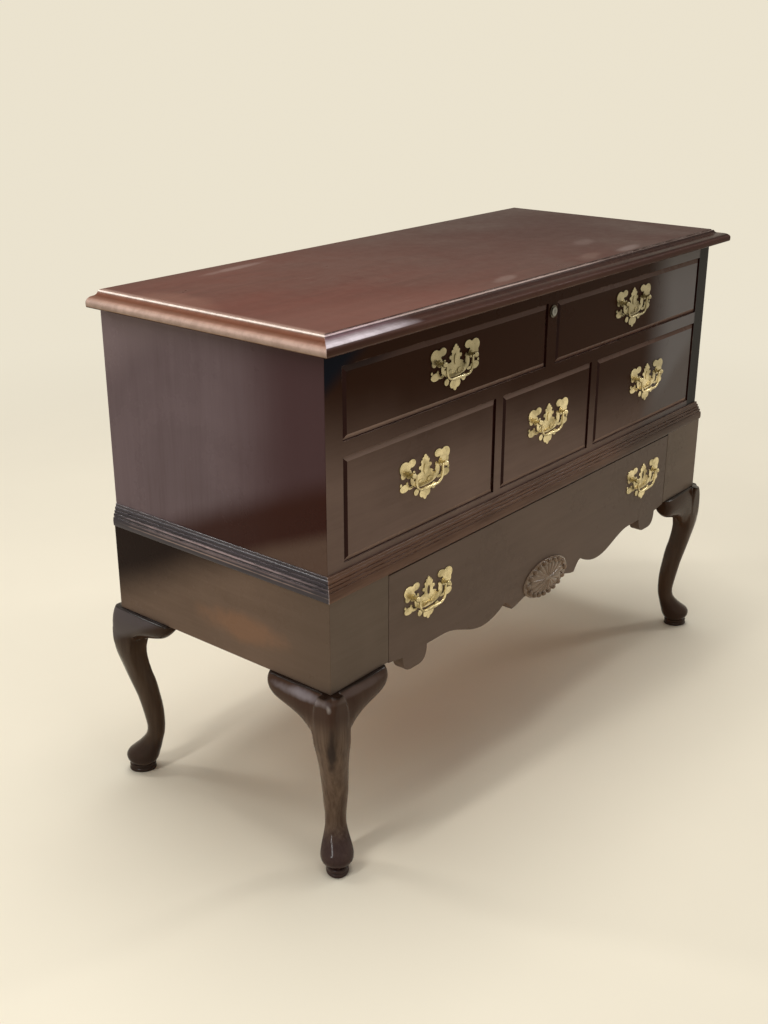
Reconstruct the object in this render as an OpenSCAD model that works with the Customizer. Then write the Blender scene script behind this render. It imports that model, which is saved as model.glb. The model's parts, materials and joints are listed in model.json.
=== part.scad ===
// Lift-top chest on cabriole legs with one drawer in its base.
// Millimetres, +Z up, front towards -Y, origin on the floor under the middle of the chest.

/* [Case] */
// Width of the upper case
case_w = 1090; // [900:5:1300]
// Depth of the upper case, front face to back face
case_d = 443; // [360:1:560]
// Height of the upper case
case_h = 348.4; // [330:0.2:460]
// Thickness of the case sides
side_t = 19; // [15:0.5:24]
// Thickness of the case front
front_t = 19; // [17:0.5:24]
// Thickness of the case back
back_t = 16; // [15:0.5:22]
// Thickness of the chest floor
floor_t = 12; // [8:0.5:18]
// Thickness of the cedar lining boards
lining_t = 5; // [3:0.5:8]

/* [Front grooves] */
// Radius of the half round groove
groove_r = 4.5; // [3:0.25:6]
// Groove centre to the side edge of the front
groove_side = 40; // [30:1:60]
// Groove centre to the top edge of the front
groove_top = 30; // [24:1:40]
// Groove centre to the bottom edge of the front
groove_bottom = 49; // [44:1:60]
// Height of the lower row of false drawers
lower_row_h = 145; // [110:1:160]
// Gap between the two rows
row_gap = 30; // [20:1:40]
// Gap between the two upper false drawers
upper_gap = 36; // [28:1:50]
// Width of the middle false drawer
middle_w = 256; // [200:2:320]
// Gap between the lower false drawers
lower_gap = 28; // [20:1:40]

/* [Lid] */
// Thickness of the lid
lid_t = 23; // [18:0.5:30]
// Gap between the lid and the case
lid_gap = 0.6; // [0.4:0.1:2]
// Lid overhang at the front
lid_over_front = 29; // [20:1:40]
// Lid overhang at each side
lid_over_side = 26; // [18:1:40]
// Width of the moulded edge
edge_w = 27; // [20:1:34]
// Depth of the small step at the top of the moulded edge
edge_step = 1.6; // [1:0.2:3]
// Height of the cove in the moulded edge
edge_cove = 5.6; // [3:0.2:7]
// Height of the square lip at the foot of the moulded edge
edge_lip = 7; // [4:0.5:9]
// Thickness of the cedar board under the lid
liner_t = 4; // [3:0.5:8]
// Liner edge to the inside of the case at each side
liner_side = 26; // [24:1:60]
// Liner edge to the inside of the case at the front
liner_front = 38; // [36:1:80]
// Liner edge to the inside of the case at the back
liner_back = 14; // [6:1:60]

/* [Base] */
// Height of the base frame
base_h = 142; // [136:1:200]
// Step of the base beyond the case front
base_front = 9; // [6:0.5:16]
// Step of the base beyond each case side
base_side = 7; // [5:0.5:14]
// Thickness of the side and back rails
rail_t = 19; // [15:0.5:24]
// Width of each front stile
stile_w = 128; // [124:1:160]
// Thickness of each front stile
stile_t = 22; // [18:0.5:28]
// Height of the waist moulding
mould_h = 35; // [28:1:42]
// Nose of the waist moulding beyond the base
mould_lip = 2; // [1:0.25:5]
// Thickness of the drawer runners
runner_t = 12; // [8:0.5:18]
// Width of the guide strip beside the drawer
guide_w = 14; // [8:1:30]
// Height of the guide strip
guide_h = 40; // [20:1:80]
// Width of the kicker strip above each drawer side
kicker_w = 30; // [20:1:50]
// Gap between the kicker and the drawer side
kicker_gap = 2; // [1:0.5:5]
// Side of each corner block that takes a leg bolt
block_side = 60; // [50:1:80]
// Thickness of each corner block
block_t = 22; // [16:1:32]

/* [Legs] */
// Height of the legs up to the base frame
leg_h = 306; // [280:1:360]
// Bulge of the knee beyond the corner, along the diagonal
knee_out = 19.3; // [12:0.1:24]
// Fullest part of the knee below the base frame
knee_down = 38; // [31:1:51]
// Diagonal thickness of the leg at the calf
calf_d = 42.5; // [38:0.5:50]
// Height of the calf
calf_z = 200; // [190:1:210]
// Diagonal thickness of the ankle
ankle_d = 29; // [26:0.5:36]
// Height of the ankle
ankle_z = 84; // [78:1:92]
// Distance of the ankle behind the corner, along the diagonal
ankle_in = 41; // [36:0.5:46]
// Length of the foot along the diagonal
foot_d = 54.5; // [50:0.5:60]
// Height of the fullest part of the foot
foot_z = 28; // [25:0.5:32]
// Toe beyond the corner, along the diagonal
toe_out = 11.5; // [6:0.5:18]
// Height of the two ring pad under the foot
pad_h = 13; // [10:0.5:18]
// Half length of the pad along the diagonal
pad_long = 22.5; // [19:0.5:25]
// Half width of the pad
pad_wide = 17.5; // [15:0.5:22]
// Sideways set of the foot from the diagonal
foot_set = 5; // [0:0.5:8]
// Length of each knee wing from the corner
wing_len = 118; // [100:1:122]
// Height of the tip of each knee wing at the front legs
wing_tip = 32; // [24:1:38]
// Height of the tip of the knee wing at the back legs
back_wing_tip = 20; // [12:1:26]
// Depth of each knee wing behind the face
wing_t = 22; // [18:0.5:26]
// Bulge of the knee wing beyond the face
wing_out = 13; // [8:0.5:16]
// Radius of the leg bolt
bolt_r = 4; // [3:0.25:5]
// Leg bolt centre from the outer faces of the base
bolt_in = 37; // [34:0.5:40]

/* [Drawer] */
// Gap at each side of the drawer front
drawer_side_gap = 1; // [0.5:0.1:3]
// Gap above the drawer front
drawer_top_gap = 3; // [1.5:0.25:5]
// Thickness of the drawer front
drawer_front_t = 20; // [18:0.5:26]
// Thickness of the drawer sides and back
drawer_side_t = 12; // [9:0.5:16]
// Height of the drawer sides
drawer_side_h = 114; // [60:1:114]
// Gap between the drawer side and its guide
drawer_run_gap = 1.2; // [0.6:0.1:3]
// Inset of the drawer side from the edge of the drawer front
drawer_inset = 2.5; // [1:0.5:20]
// Thickness of the drawer bottom
drawer_bottom_t = 5; // [3:0.5:8]
// Drawer bottom above the lower edge of the drawer sides
drawer_bottom_up = 3; // [1:0.5:12]
// Thickness of the stops behind the drawer
stop_t = 8; // [4:0.5:20]
// Apron height at the drawer ends, below the leg top line
apron_end = 2; // [0:0.5:8]
// Apron depth at its high flats
apron_high = 7; // [2:0.5:14]
// Apron depth at its low lobes
apron_low = 34; // [24:0.5:44]
// Middle of the end lobes from the ends of the drawer front
lobe_end = 63; // [51:1:78]
// Half width of the end lobes
lobe_half = 30; // [24:1:34]
// Length of the high flat beside each end lobe
apron_flat = 40; // [20:1:60]
// Lowest point of the long wave from the centre
wave_x = 180; // [165:1:200]
// Pointed notch from the centre
notch_x = 120; // [112:1:130]
// Depth of the apron at the pointed notch
notch_deep = 16; // [8:0.5:24]
// Pointed cusp from the centre
cusp_x = 98; // [90:1:104]

/* [Shell] */
// Width of the carved shell
shell_w = 135; // [110:1:150]
// Height of the carved shell
shell_h = 66; // [54:1:72]
// Thickness of the carved shell
shell_t = 9; // [6:0.5:14]
// Lobes round the shell
shell_lobes = 18; // [12:1:24]

/* [Pulls] */
// Distance between the two posts of a pull
post_gap = 76; // [74:1:80]
// Posts above the middle of the plate
post_up = 13; // [11:0.5:15]
// Thickness of the back plate
plate_t = 1.6; // [1:0.1:2.5]
// Bail pivot in front of the wood
pivot_out = 10; // [8:0.5:16]
// Radius of the ball at the head of a post
head_r = 4.6; // [4:0.1:5.5]
// Radius of the post stem
stem_r = 2.4; // [2:0.1:3]
// Radius of the bail pivot
pivot_r = 1.3; // [1:0.05:1.6]
// Radius of the bail at its arms
bail_r = 1.7; // [1.4:0.1:2]
// Radius of the bail at its middle
bail_mid_r = 2.3; // [1.8:0.1:2.8]
// Drop of the bail below its pivots
bail_drop = 26; // [22:0.5:32]
// Drawer pulls from the ends of the drawer front
drawer_pull_end = 93; // [83:1:123]
// Drawer pulls above the leg top line
drawer_pull_up = 72; // [66:1:90]

/* [Hinges and stays] */
// Length of each butt hinge
hinge_len = 76; // [50:1:100]
// Hinge middle from the centre of the chest
hinge_x = 360; // [200:5:400]
// Radius of the hinge knuckle
knuckle_r = 3.2; // [2.8:0.1:4]
// Radius of the hinge pin
hinge_pin_r = 1.5; // [1.2:0.1:2]
// Thickness of each hinge leaf
leaf_t = 1.5; // [1.2:0.1:2]
// Width of each hinge leaf on the wood
leaf_w = 12; // [9:0.5:14]
// Distance of the stay pivot and of its guide pin from the hinge line
stay_r = 150; // [130:1:170]
// Angle between the pivot and the guide pin with the lid shut
stay_rest = 26; // [22:1:32]
// Opening angle of the lid
lid_open = 84; // [75:1:88]
// Gap between the stay arm and the foot of its bracket
stay_clear = 0.8; // [0.4:0.1:3]
// Width of the stay arm
stay_w = 15; // [12:0.5:18]
// Thickness of the stay arm
stay_t = 2; // [1.5:0.25:3]
// Radius of the guide pin
guide_r = 2; // [1.5:0.25:2.5]
// Radius of the stay pivot
rivet_r = 2.5; // [2:0.25:3]

/* [Lock] */
// Lock centre below the top of the case
lock_down = 40; // [36:1:50]
// Radius of the lock bezel
ring_r = 10; // [9:0.25:13]
// Radius of the push button
button_r = 7; // [6:0.25:7.5]
// Push button in front of the case
button_out = 3.5; // [2.5:0.25:8]
// Radius of the key plug
plug_r = 3.6; // [3:0.1:4.5]
// Radius of the bolt behind the button
lock_bolt_r = 3; // [2.5:0.1:3.4]
// Depth of the lock case
lock_case_d = 14; // [10:0.5:18]
// Travel of the push button
lock_travel = 7; // [6:0.25:8]

/* [Hidden] */
$fn = 48;
fit_run = 0.08; // radial clearance of a turning or sliding pin
fit_gap = 0.4; // clearance between moving faces
fit_hole = 0.1; // clearance round a fixed pin or sleeve
slot_fit = 0.2; // clearance of a guide pin in its slot
base_top = leg_h + base_h;
knee_z = leg_h - knee_down;
case_top = base_top + case_h;
lid_bottom = case_top + lid_gap;
lid_top = lid_bottom + lid_t;
half_w = case_w / 2;
in_x = half_w - side_t;
base_x = half_w + base_side;
floor_top = base_top + floor_t;
line_x = in_x - lining_t;
line_y0 = front_t + lining_t;
line_y1 = case_d - back_t - lining_t;
ring_n = 24; // points round each ring of a leg
function set_at(z) = foot_set * max(0, 1 - z / 250);
toe_reach = foot_d / 2 * cos(180 / ring_n) - (foot_d / 2 - toe_out) / sqrt(2) + set_at(foot_z) / sqrt(2);
y_shift = -(case_d + toe_reach - lid_over_front) / 2;
open_x = base_x - stile_w;
row0 = base_top + groove_bottom;
row1 = row0 + lower_row_h;
row2 = row1 + row_gap;
row3 = case_top - groove_top;
edge_x = half_w - groove_side;
stile_back = stile_t - base_front;
rail_back = case_d - rail_t;
rail_in = base_x - rail_t;
runner_top = leg_h + runner_t;
front_half = open_x - drawer_side_gap;
lobe_x = front_half - lobe_end;
flat_x = lobe_x - lobe_half - apron_flat;
drawer_pull_x = front_half - drawer_pull_end;
box_half = front_half - drawer_inset;
box_front = drawer_front_t - base_front;
box_back = rail_back - stop_t;
box_bottom = runner_top + drawer_bottom_up;
guide_x = box_half + drawer_run_gap;
lock_z = case_top - lock_down;
strike_gap = 5; // between the lock case and the strike
strike_y = front_t + lock_case_d + strike_gap;
plate_h = 70;
plate_w = 118;
knuckle_back = 0.3; // knuckles behind the case back
hinge_y = case_d + knuckle_r + knuckle_back;
hinge_z = lid_bottom - lid_gap / 2;
ear_t = 2;
stay_drop = stay_w / 2 + ear_t + stay_clear - lid_gap / 2;
q_pt = [hinge_y - sqrt(stay_r * stay_r - stay_drop * stay_drop), hinge_z - stay_drop];
p_ang = asin(stay_drop / stay_r) + stay_rest;
p_pt = [hinge_y - stay_r * cos(p_ang), hinge_z - stay_r * sin(p_ang)];
slot_a = 2 * stay_r * sin(stay_rest / 2);
slot_b = 2 * stay_r * sin((stay_rest + lid_open) / 2);
stay_ang = atan2(p_pt[1] - q_pt[1], p_pt[0] - q_pt[0]);
ear_x = line_x - 1;
arm_x = ear_x - ear_t - fit_gap;
head_t = 2;
head_over = 2; // head of a stay rivet or guide pin beyond its shank
bracket_foot = 16; // width of the stay bracket on the lid
bracket_half = 14; // half length of the stay bracket on the lid
slot_end = 4; // metal beyond the far end of the stay slot
slot_spare = 0.5; // spare length at each end of the stay slot

// Shared placing helpers. Y is counted from the case front and moved to the origin last.
module placed() { translate([0, y_shift, 0]) children(); }
module box(a, b) { translate(a) cube(b - a); }
module left_right() { children(); mirror([1, 0, 0]) children(); }
// Profile drawn in Y and Z, drawn out along X from x0 to x1
module along_x(x0, x1) { translate([x0, 0, 0]) rotate([90, 0, 90]) linear_extrude(x1 - x0) children(); }
// Profile drawn in X and Z, drawn out along Y from y0 to y1
module along_y(y0, y1) { translate([0, y1, 0]) rotate([90, 0, 0]) linear_extrude(y1 - y0) children(); }
module rod_x(x0, x1, r, y, z) { translate([x0, y, z]) rotate([0, 90, 0]) cylinder(r = r, h = x1 - x0); }
module rod_y(y0, y1, r, x, z) { translate([x, y0, z]) rotate([-90, 0, 0]) cylinder(r = r, h = y1 - y0); }

// Lid
// Half of the moulded edge, measured inwards from the nose and up from the lid underside
edge_mid = lid_t - edge_step - edge_cove;
edge_steps = 6;
function edge_points() = concat(
    [[3, 0], [0.8, 0.8], [0, 3], [0, edge_lip]],
    [for (i = [1 : edge_steps]) let (a = 90 * i / edge_steps)
        [(edge_w / 2) * (1 - cos(a)), edge_lip + (edge_mid - edge_lip) * sin(a)]],
    [for (i = [1 : edge_steps]) let (a = 90 * i / edge_steps)
        [edge_w / 2 + (edge_w / 2) * sin(a),
         edge_mid + (lid_t - edge_step - edge_mid) * (1 - cos(a))]],
    [[edge_w, lid_t]]);
module lid_front_profile() {
    pts = edge_points();
    polygon(concat([for (p = pts) [-lid_over_front + p[0], lid_bottom + p[1]]],
        [[case_d, lid_top], [case_d, lid_bottom]]));
}
module lid_side_profile() {
    pts = edge_points();
    w = half_w + lid_over_side;
    n = len(pts) - 1;
    polygon(concat([for (p = pts) [-w + p[0], lid_bottom + p[1]]],
        [for (i = [n : -1 : 0]) [w - pts[i][0], lid_bottom + pts[i][1]]]));
}
module hinge_seats(y0, y1, z0, z1) {
    left_right() box([hinge_x - hinge_len / 2 - fit_hole, y0, z0],
        [hinge_x + hinge_len / 2 + fit_hole, y1, z1]);
}
module lid_panel() {
    color("#4a1f16") placed() difference() {
        intersection() {
            along_x(-half_w - lid_over_side, half_w + lid_over_side) lid_front_profile();
            along_y(-lid_over_front, case_d) lid_side_profile();
        }
        hinge_seats(case_d - leaf_w, case_d + 1, lid_bottom - 1, lid_bottom + leaf_t);
    }
}
module lid_liner() {
    color("#c08a5e") placed()
        box([-line_x + liner_side, line_y0 + liner_front, lid_bottom - liner_t],
            [line_x - liner_side, line_y1 - liner_back, lid_bottom]);
}

// Hinges: five knuckles each, three on the case leaf and two on the lid leaf
knuckles = 5;
knuckle_gap = 0.3;
module knuckle(i) {
    k = hinge_len / knuckles;
    x0 = hinge_x - hinge_len / 2 + i * k + knuckle_gap / 2;
    difference() {
        rod_x(x0, x0 + k - knuckle_gap, knuckle_r, hinge_y, hinge_z);
        rod_x(x0 - 1, x0 + k + 1, hinge_pin_r + (i % 2 == 0 ? 0.02 : fit_run), hinge_y, hinge_z);
    }
}
module leaf_arm(i, z0, z1) {
    k = hinge_len / knuckles;
    x0 = hinge_x - hinge_len / 2 + i * k + knuckle_gap / 2;
    difference() {
        box([x0, case_d - leaf_w, z0], [x0 + k - knuckle_gap, hinge_y, z1]);
        rod_x(x0 - 1, x0 + k + 1, knuckle_r - 0.4, hinge_y, hinge_z);
    }
}
module lid_hinge_leaves() {
    color("#9a8348") placed() left_right() {
        box([hinge_x - hinge_len / 2, case_d - leaf_w, lid_bottom],
            [hinge_x + hinge_len / 2, case_d - 0.2, lid_bottom + leaf_t]);
        for (i = [1, 3]) { knuckle(i); leaf_arm(i, lid_bottom, lid_bottom + leaf_t); }
    }
}
module case_hinge_leaves() {
    color("#9a8348") placed() left_right() {
        box([hinge_x - hinge_len / 2, case_d - leaf_w, case_top - leaf_t],
            [hinge_x + hinge_len / 2, case_d - 0.2, case_top]);
        for (i = [0, 2, 4]) { knuckle(i); leaf_arm(i, case_top - leaf_t, case_top); }
    }
}
module hinge_pins() {
    color("#b09858") placed() left_right()
        rod_x(hinge_x - hinge_len / 2 - 1, hinge_x + hinge_len / 2 + 1, hinge_pin_r, hinge_y, hinge_z);
}

// Lid stays: a slotted arm turns on a lid bracket and slides on a pin in the case side
module stay_bracket() {
    box([ear_x - bracket_foot, q_pt[0] - bracket_half, lid_bottom - ear_t],
        [ear_x, q_pt[0] + bracket_half, lid_bottom]);
    along_x(ear_x - ear_t, ear_x) union() {
        translate([q_pt[0] - stay_w / 2, q_pt[1]]) square([stay_w, lid_bottom - q_pt[1]]);
        translate(q_pt) circle(r = stay_w / 2);
    }
    rod_x(arm_x - stay_t - fit_gap - 0.1, ear_x - ear_t + 0.1, rivet_r, q_pt[0], q_pt[1]);
    rod_x(arm_x - stay_t - fit_gap - head_t, arm_x - stay_t - fit_gap, rivet_r + head_over, q_pt[0], q_pt[1]);
}
module stay_brackets() { color("#9a8348") placed() left_right() stay_bracket(); }
module stay_arm() {
    along_x(arm_x - stay_t, arm_x) translate(q_pt) rotate(stay_ang) difference() {
        union() {
            circle(r = stay_w / 2);
            translate([0, -stay_w / 2]) square([slot_b + slot_end, stay_w]);
            translate([slot_b + slot_end, 0]) circle(r = stay_w / 2);
        }
        circle(r = rivet_r + fit_run);
        for (d = [slot_a - slot_spare, slot_b + slot_spare])
            translate([d, 0]) circle(r = guide_r + slot_fit);
        translate([slot_a - slot_spare, -guide_r - slot_fit])
            square([slot_b - slot_a + 2 * slot_spare, 2 * (guide_r + slot_fit)]);
    }
}
module stay_arm_left() { color("#8f8f8a") placed() mirror([1, 0, 0]) stay_arm(); }
module stay_arm_right() { color("#8f8f8a") placed() stay_arm(); }
pin_bed = 8; // depth of the guide pin in the case side
module stay_guide_pins() {
    color("#9a8348") placed() left_right() {
        rod_x(arm_x - stay_t - fit_gap - 0.1, in_x + pin_bed, guide_r, p_pt[0], p_pt[1]);
        rod_x(arm_x - stay_t - fit_gap - head_t, arm_x - stay_t - fit_gap, guide_r + head_over, p_pt[0], p_pt[1]);
        rod_x(arm_x + fit_gap, line_x, guide_r + 3, p_pt[0], p_pt[1]);
    }
}

// Case
module side_panel() {
    difference() {
        box([in_x, front_t, base_top], [half_w, case_d, case_top]);
        rod_x(in_x - 1, in_x + pin_bed + 0.5, guide_r + fit_hole, p_pt[0], p_pt[1]);
    }
}
module side_panel_left() { color("#43201a") placed() mirror([1, 0, 0]) side_panel(); }
module side_panel_right() { color("#43201a") placed() side_panel(); }
module groove_frame(x0, x1, z0, z1) {
    r = groove_r;
    for (z = [z0, z1]) translate([x0 - r, 0, z]) rotate([0, 90, 0]) cylinder(r = r, h = x1 - x0 + 2 * r, $fn = 12);
    for (x = [x0, x1]) translate([x, 0, z0 - r]) cylinder(r = r, h = z1 - z0 + 2 * r, $fn = 12);
}
module pull_holes(x, z, y0, t) {
    for (s = [-1, 1]) {
        rod_y(y0 - 1, y0 + t + 1, stem_r + fit_hole, x + s * post_gap / 2, z + post_up);
        rod_y(y0 + t - nut_t, y0 + t + 1, nut_r + 1, x + s * post_gap / 2, z + post_up);
    }
}
upper_x = (edge_x + upper_gap / 2) / 2;
lower_x = (edge_x + middle_w / 2 + lower_gap) / 2;
upper_z = (row2 + row3) / 2;
lower_z = (row0 + row1) / 2;
case_pulls = [[-upper_x, upper_z], [upper_x, upper_z], [-lower_x, lower_z], [0, lower_z], [lower_x, lower_z]];
module front_panel() {
    color("#3d1c16") placed() difference() {
        box([-half_w, 0, base_top], [half_w, front_t, case_top]);
        left_right() {
            groove_frame(upper_gap / 2, edge_x, row2, row3);
            groove_frame(middle_w / 2 + lower_gap, edge_x, row0, row1);
        }
        groove_frame(-middle_w / 2, middle_w / 2, row0, row1);
        for (p = case_pulls) pull_holes(p[0], p[1], 0, front_t);
        rod_y(-1, front_t + 1, sleeve_r + fit_hole, 0, lock_z);
    }
}
module back_panel() {
    color("#3d1c16") placed() difference() {
        box([-in_x, case_d - back_t, base_top], [in_x, case_d, case_top]);
        hinge_seats(case_d - leaf_w, case_d + 1, case_top - leaf_t, case_top + 1);
    }
}
module chest_floor() {
    color("#c08a5e") placed()
        box([-line_x, line_y0, base_top], [line_x, line_y1, floor_top]);
}
module lining_front() {
    color("#c08a5e") placed() difference() {
        box([-in_x, front_t, base_top], [in_x, line_y0, case_top]);
        box([-lock_half - fit_hole, front_t - 1, lock_z - lock_low - fit_hole],
            [lock_half + fit_hole, line_y0 + 1, lock_z + lock_low + fit_hole]);
    }
}
module lining_back() {
    color("#c08a5e") placed() box([-in_x, line_y1, base_top], [in_x, case_d - back_t, case_top]);
}
module lining_side() {
    difference() {
        box([line_x, line_y0, base_top], [in_x, line_y1, case_top]);
        rod_x(line_x - 1, in_x + 1, guide_r + fit_hole, p_pt[0], p_pt[1]);
    }
}
module lining_left() { color("#c08a5e") placed() mirror([1, 0, 0]) lining_side(); }
module lining_right() { color("#c08a5e") placed() lining_side(); }

// Lock: a bezel and sleeve in the front, a case behind it and a button with a bolt
lock_half = 17; // half width of the lock case
lock_low = 20; // half height of the lock case
sleeve_r = ring_r - 1.2;
ring_t = 1.8;
button_len = 14; // length of the wide part of the button inside the case front
bolt_rest = strike_y - 2.5; // bolt tip with the button out
module lock_case() {
    color("#8f8f8a") placed() difference() {
        box([-lock_half, front_t, lock_z - lock_low], [lock_half, front_t + lock_case_d, lock_z + lock_low]);
        rod_y(front_t - 1, front_t + lock_case_d + 1, lock_bolt_r + fit_run, 0, lock_z);
        rod_y(front_t - 1, button_len + lock_travel + 1, button_r + fit_gap, 0, lock_z);
    }
}
module lock_ring() {
    color("#2c2622") placed() difference() {
        union() {
            rod_y(-ring_t, 0, ring_r, 0, lock_z);
            rod_y(-0.1, front_t, sleeve_r, 0, lock_z);
        }
        rod_y(-ring_t - 1, front_t + 1, button_r + fit_run, 0, lock_z);
    }
}
plug_back = 8; // depth of the key plug behind the case front
module lock_button() {
    color("#b9b7ae") placed() difference() {
        union() {
            rod_y(-button_out, button_len, button_r, 0, lock_z);
            rod_y(button_len - 0.1, bolt_rest, lock_bolt_r, 0, lock_z);
        }
        rod_y(-button_out - 1, plug_back + 0.2, plug_r + fit_run, 0, lock_z);
    }
}
module key_plug() {
    color("#8f8f8a") placed() difference() {
        rod_y(-button_out + 0.3, plug_back, plug_r, 0, lock_z);
        box([-0.5, -button_out - 1, lock_z - 2.4], [0.5, 5, lock_z + 2.4]);
    }
}
module lock_strike() {
    color("#9a8348") placed() difference() {
        union() {
            box([-20, strike_y - 6, lid_bottom - ear_t], [20, strike_y + 10, lid_bottom]);
            box([-10, strike_y, lock_z - 9], [10, strike_y + ear_t, lid_bottom - 0.5]);
        }
        rod_y(strike_y - 1, strike_y + ear_t + 1, lock_bolt_r + 0.5, 0, lock_z);
    }
}

// Waist moulding: three small reeds above a rounded nose, mitred at the front corners
function arc_out(c, r, a0, a1, n) = [for (i = [0 : n]) let (a = a0 + (a1 - a0) * i / n)
    [c[0] + r * cos(a), c[1] + r * sin(a)]];
// Profile as share of the depth outwards and height upwards
module mould_profile(d) {
    reed = 5;
    nose = mould_h - 3 * reed - 6;
    polygon(concat([[0, 0], [0.92 * d, 0]],
        [for (i = [0 : 6]) let (a = -90 + 180 * i / 6) [d * (0.92 + 0.08 * cos(a)), nose / 2 + nose / 2 * sin(a)]],
        [for (j = [0 : 2]) for (i = [0 : 4]) let (a = -80 + 160 * i / 4)
            [d * (0.74 - 0.16 * j + 0.1 * cos(a)), nose + 1 + reed * (j + 0.5) + 0.5 * reed * sin(a)]],
        [[0.32 * d, mould_h - 4], [0.2 * d, mould_h], [0, mould_h]]));
}
module mould_cut(side) {
    mx = half_w + base_side + mould_lip;
    my = base_front + mould_lip;
    translate([0, 0, base_top - 1]) linear_extrude(mould_h + 2) if (side)
        polygon([[half_w, 0], [mx, -my], [mx, case_d], [half_w, case_d]]);
    else polygon([[-mx, -my], [mx, -my], [half_w, 0], [-half_w, 0]]);
}
module waist_moulding_front() {
    color("#4a211a") placed() intersection() {
        along_x(-half_w - 20, half_w + 20) mirror([1, 0]) translate([0, base_top])
            mould_profile(base_front + mould_lip);
        mould_cut(false);
    }
}
module mould_side() {
    intersection() {
        along_y(-20, case_d) translate([half_w, base_top]) mould_profile(base_side + mould_lip);
        mould_cut(true);
    }
}
module waist_moulding_left() { color("#4a211a") placed() mirror([1, 0, 0]) mould_side(); }
module waist_moulding_right() { color("#4a211a") placed() mould_side(); }

// Base frame
module side_rail() { box([rail_in, stile_back, leg_h], [base_x, case_d, base_top]); }
module side_rail_left() { color("#43201a") placed() mirror([1, 0, 0]) side_rail(); }
module side_rail_right() { color("#43201a") placed() side_rail(); }
module back_rail() { color("#3d1c16") placed() box([-rail_in, rail_back, leg_h], [rail_in, case_d, base_top]); }
module front_stile() { box([open_x, -base_front, leg_h], [base_x, stile_back, base_top]); }
module front_stile_left() { color("#3d1c16") placed() mirror([1, 0, 0]) front_stile(); }
module front_stile_right() { color("#3d1c16") placed() front_stile(); }
bolt_y0 = bolt_in - base_front;
bolt_y1 = case_d - bolt_in;
bolt_x = base_x - bolt_in;
module bolt_holes(z0, z1, r) {
    for (y = [bolt_y0, bolt_y1]) translate([bolt_x, y, z0]) cylinder(r = r, h = z1 - z0);
}
module drawer_runner() {
    difference() {
        union() {
            box([box_half - drawer_side_t - 8, stile_back, leg_h], [rail_in, rail_back, runner_top]);
            box([guide_x, stile_back, runner_top - 1], [guide_x + guide_w, rail_back, runner_top + guide_h]);
        }
        bolt_holes(leg_h - 1, runner_top + 1, bolt_r + fit_hole);
    }
}
module drawer_runner_left() { color("#b48a5a") placed() mirror([1, 0, 0]) drawer_runner(); }
module drawer_runner_right() { color("#b48a5a") placed() drawer_runner(); }
kicker_x = box_half - drawer_side_t / 2 - kicker_w / 2;
kicker_z = runner_top + drawer_side_h + kicker_gap;
module kickers() {
    color("#b48a5a") placed() left_right()
        box([kicker_x, stile_back, kicker_z], [kicker_x + kicker_w, rail_back, base_top]);
}
stop_w = 40; // width of each drawer stop
stop_h = 30; // height of each drawer stop
module drawer_stops() {
    color("#b48a5a") placed() left_right()
        box([box_half - stop_w, box_back, runner_top], [box_half, rail_back, runner_top + stop_h]);
}
module leg_blocks() {
    color("#b48a5a") placed() left_right() difference() {
        for (y = [stile_back, rail_back - block_side])
            box([rail_in - block_side, y, runner_top], [rail_in, y + block_side, runner_top + block_t]);
        bolt_holes(runner_top - 1, runner_top + block_t + 1, bolt_r + fit_hole);
    }
}
bolt_past = 6; // bolt tip below the underside of the knee block
bolt_deep = knee_down + bolt_past; // depth of the bolt in the leg
module leg_bolts() {
    color("#8f8f8a") placed() left_right() for (y = [bolt_y0, bolt_y1]) translate([bolt_x, y, 0]) {
        z1 = runner_top + block_t;
        translate([0, 0, leg_h - bolt_deep]) cylinder(r = bolt_r, h = z1 + 12 - leg_h + bolt_deep);
        translate([0, 0, z1]) cylinder(r = 2.2 * bolt_r, h = 1.5);
        translate([0, 0, z1 + 1.4]) cylinder(r = 1.9 * bolt_r, h = 6, $fn = 6);
    }
}

// Legs. Drawn for one base corner: X and Y run inwards along the faces from the corner.
// Each station is [height, outer reach, inner reach along the diagonal, squareness, side set]
knee_in = -50;
ankle_o = -ankle_in + ankle_d / 2;
ankle_i = -ankle_in - ankle_d / 2;
calf_o = knee_out - 14.3;
leg_stations = [
    [leg_h, 4, knee_in, 0.25],
    [leg_h - 6, 8.5, knee_in, 0.25],
    [leg_h - 16, 14.5, knee_in, 0.2],
    [knee_z + 10, knee_out - 1, knee_in, 0.2],
    [knee_z, knee_out, knee_in, 0.2],
    [(2 * knee_z + calf_z) / 3, knee_out - 1.5, -40, 0.35],
    [(knee_z + 2 * calf_z) / 3, (knee_out + calf_o) / 2 + 1.4, -34.5, 0.55],
    [calf_z, calf_o, calf_o - calf_d, 0.75],
    [(3 * calf_z + ankle_z) / 4, calf_o - 9.6, -45, 0.88],
    [(calf_z + ankle_z) / 2, calf_o - 19, -50.7, 1],
    [(calf_z + 3 * ankle_z) / 4, ankle_o + 4.5, ankle_i + 1, 1],
    [ankle_z, ankle_o, ankle_i, 1],
    [(3 * ankle_z + foot_z) / 4, ankle_o + 1.2, ankle_i + 1.5, 1],
    [(ankle_z + foot_z) / 2, ankle_o + 9.5, ankle_i + 5, 1],
    [(ankle_z + 2.4 * foot_z) / 3.4, toe_out - 18, ankle_i + 7.5, 1],
    [foot_z + 8, toe_out - 3, toe_out - foot_d - 2, 1],
    [foot_z, toe_out, toe_out - foot_d, 1],
    [foot_z - 7, toe_out - 3, toe_out - foot_d + 4, 1],
    [pad_h - 1, toe_out - 5.5, toe_out - foot_d + 7, 1]];
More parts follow.
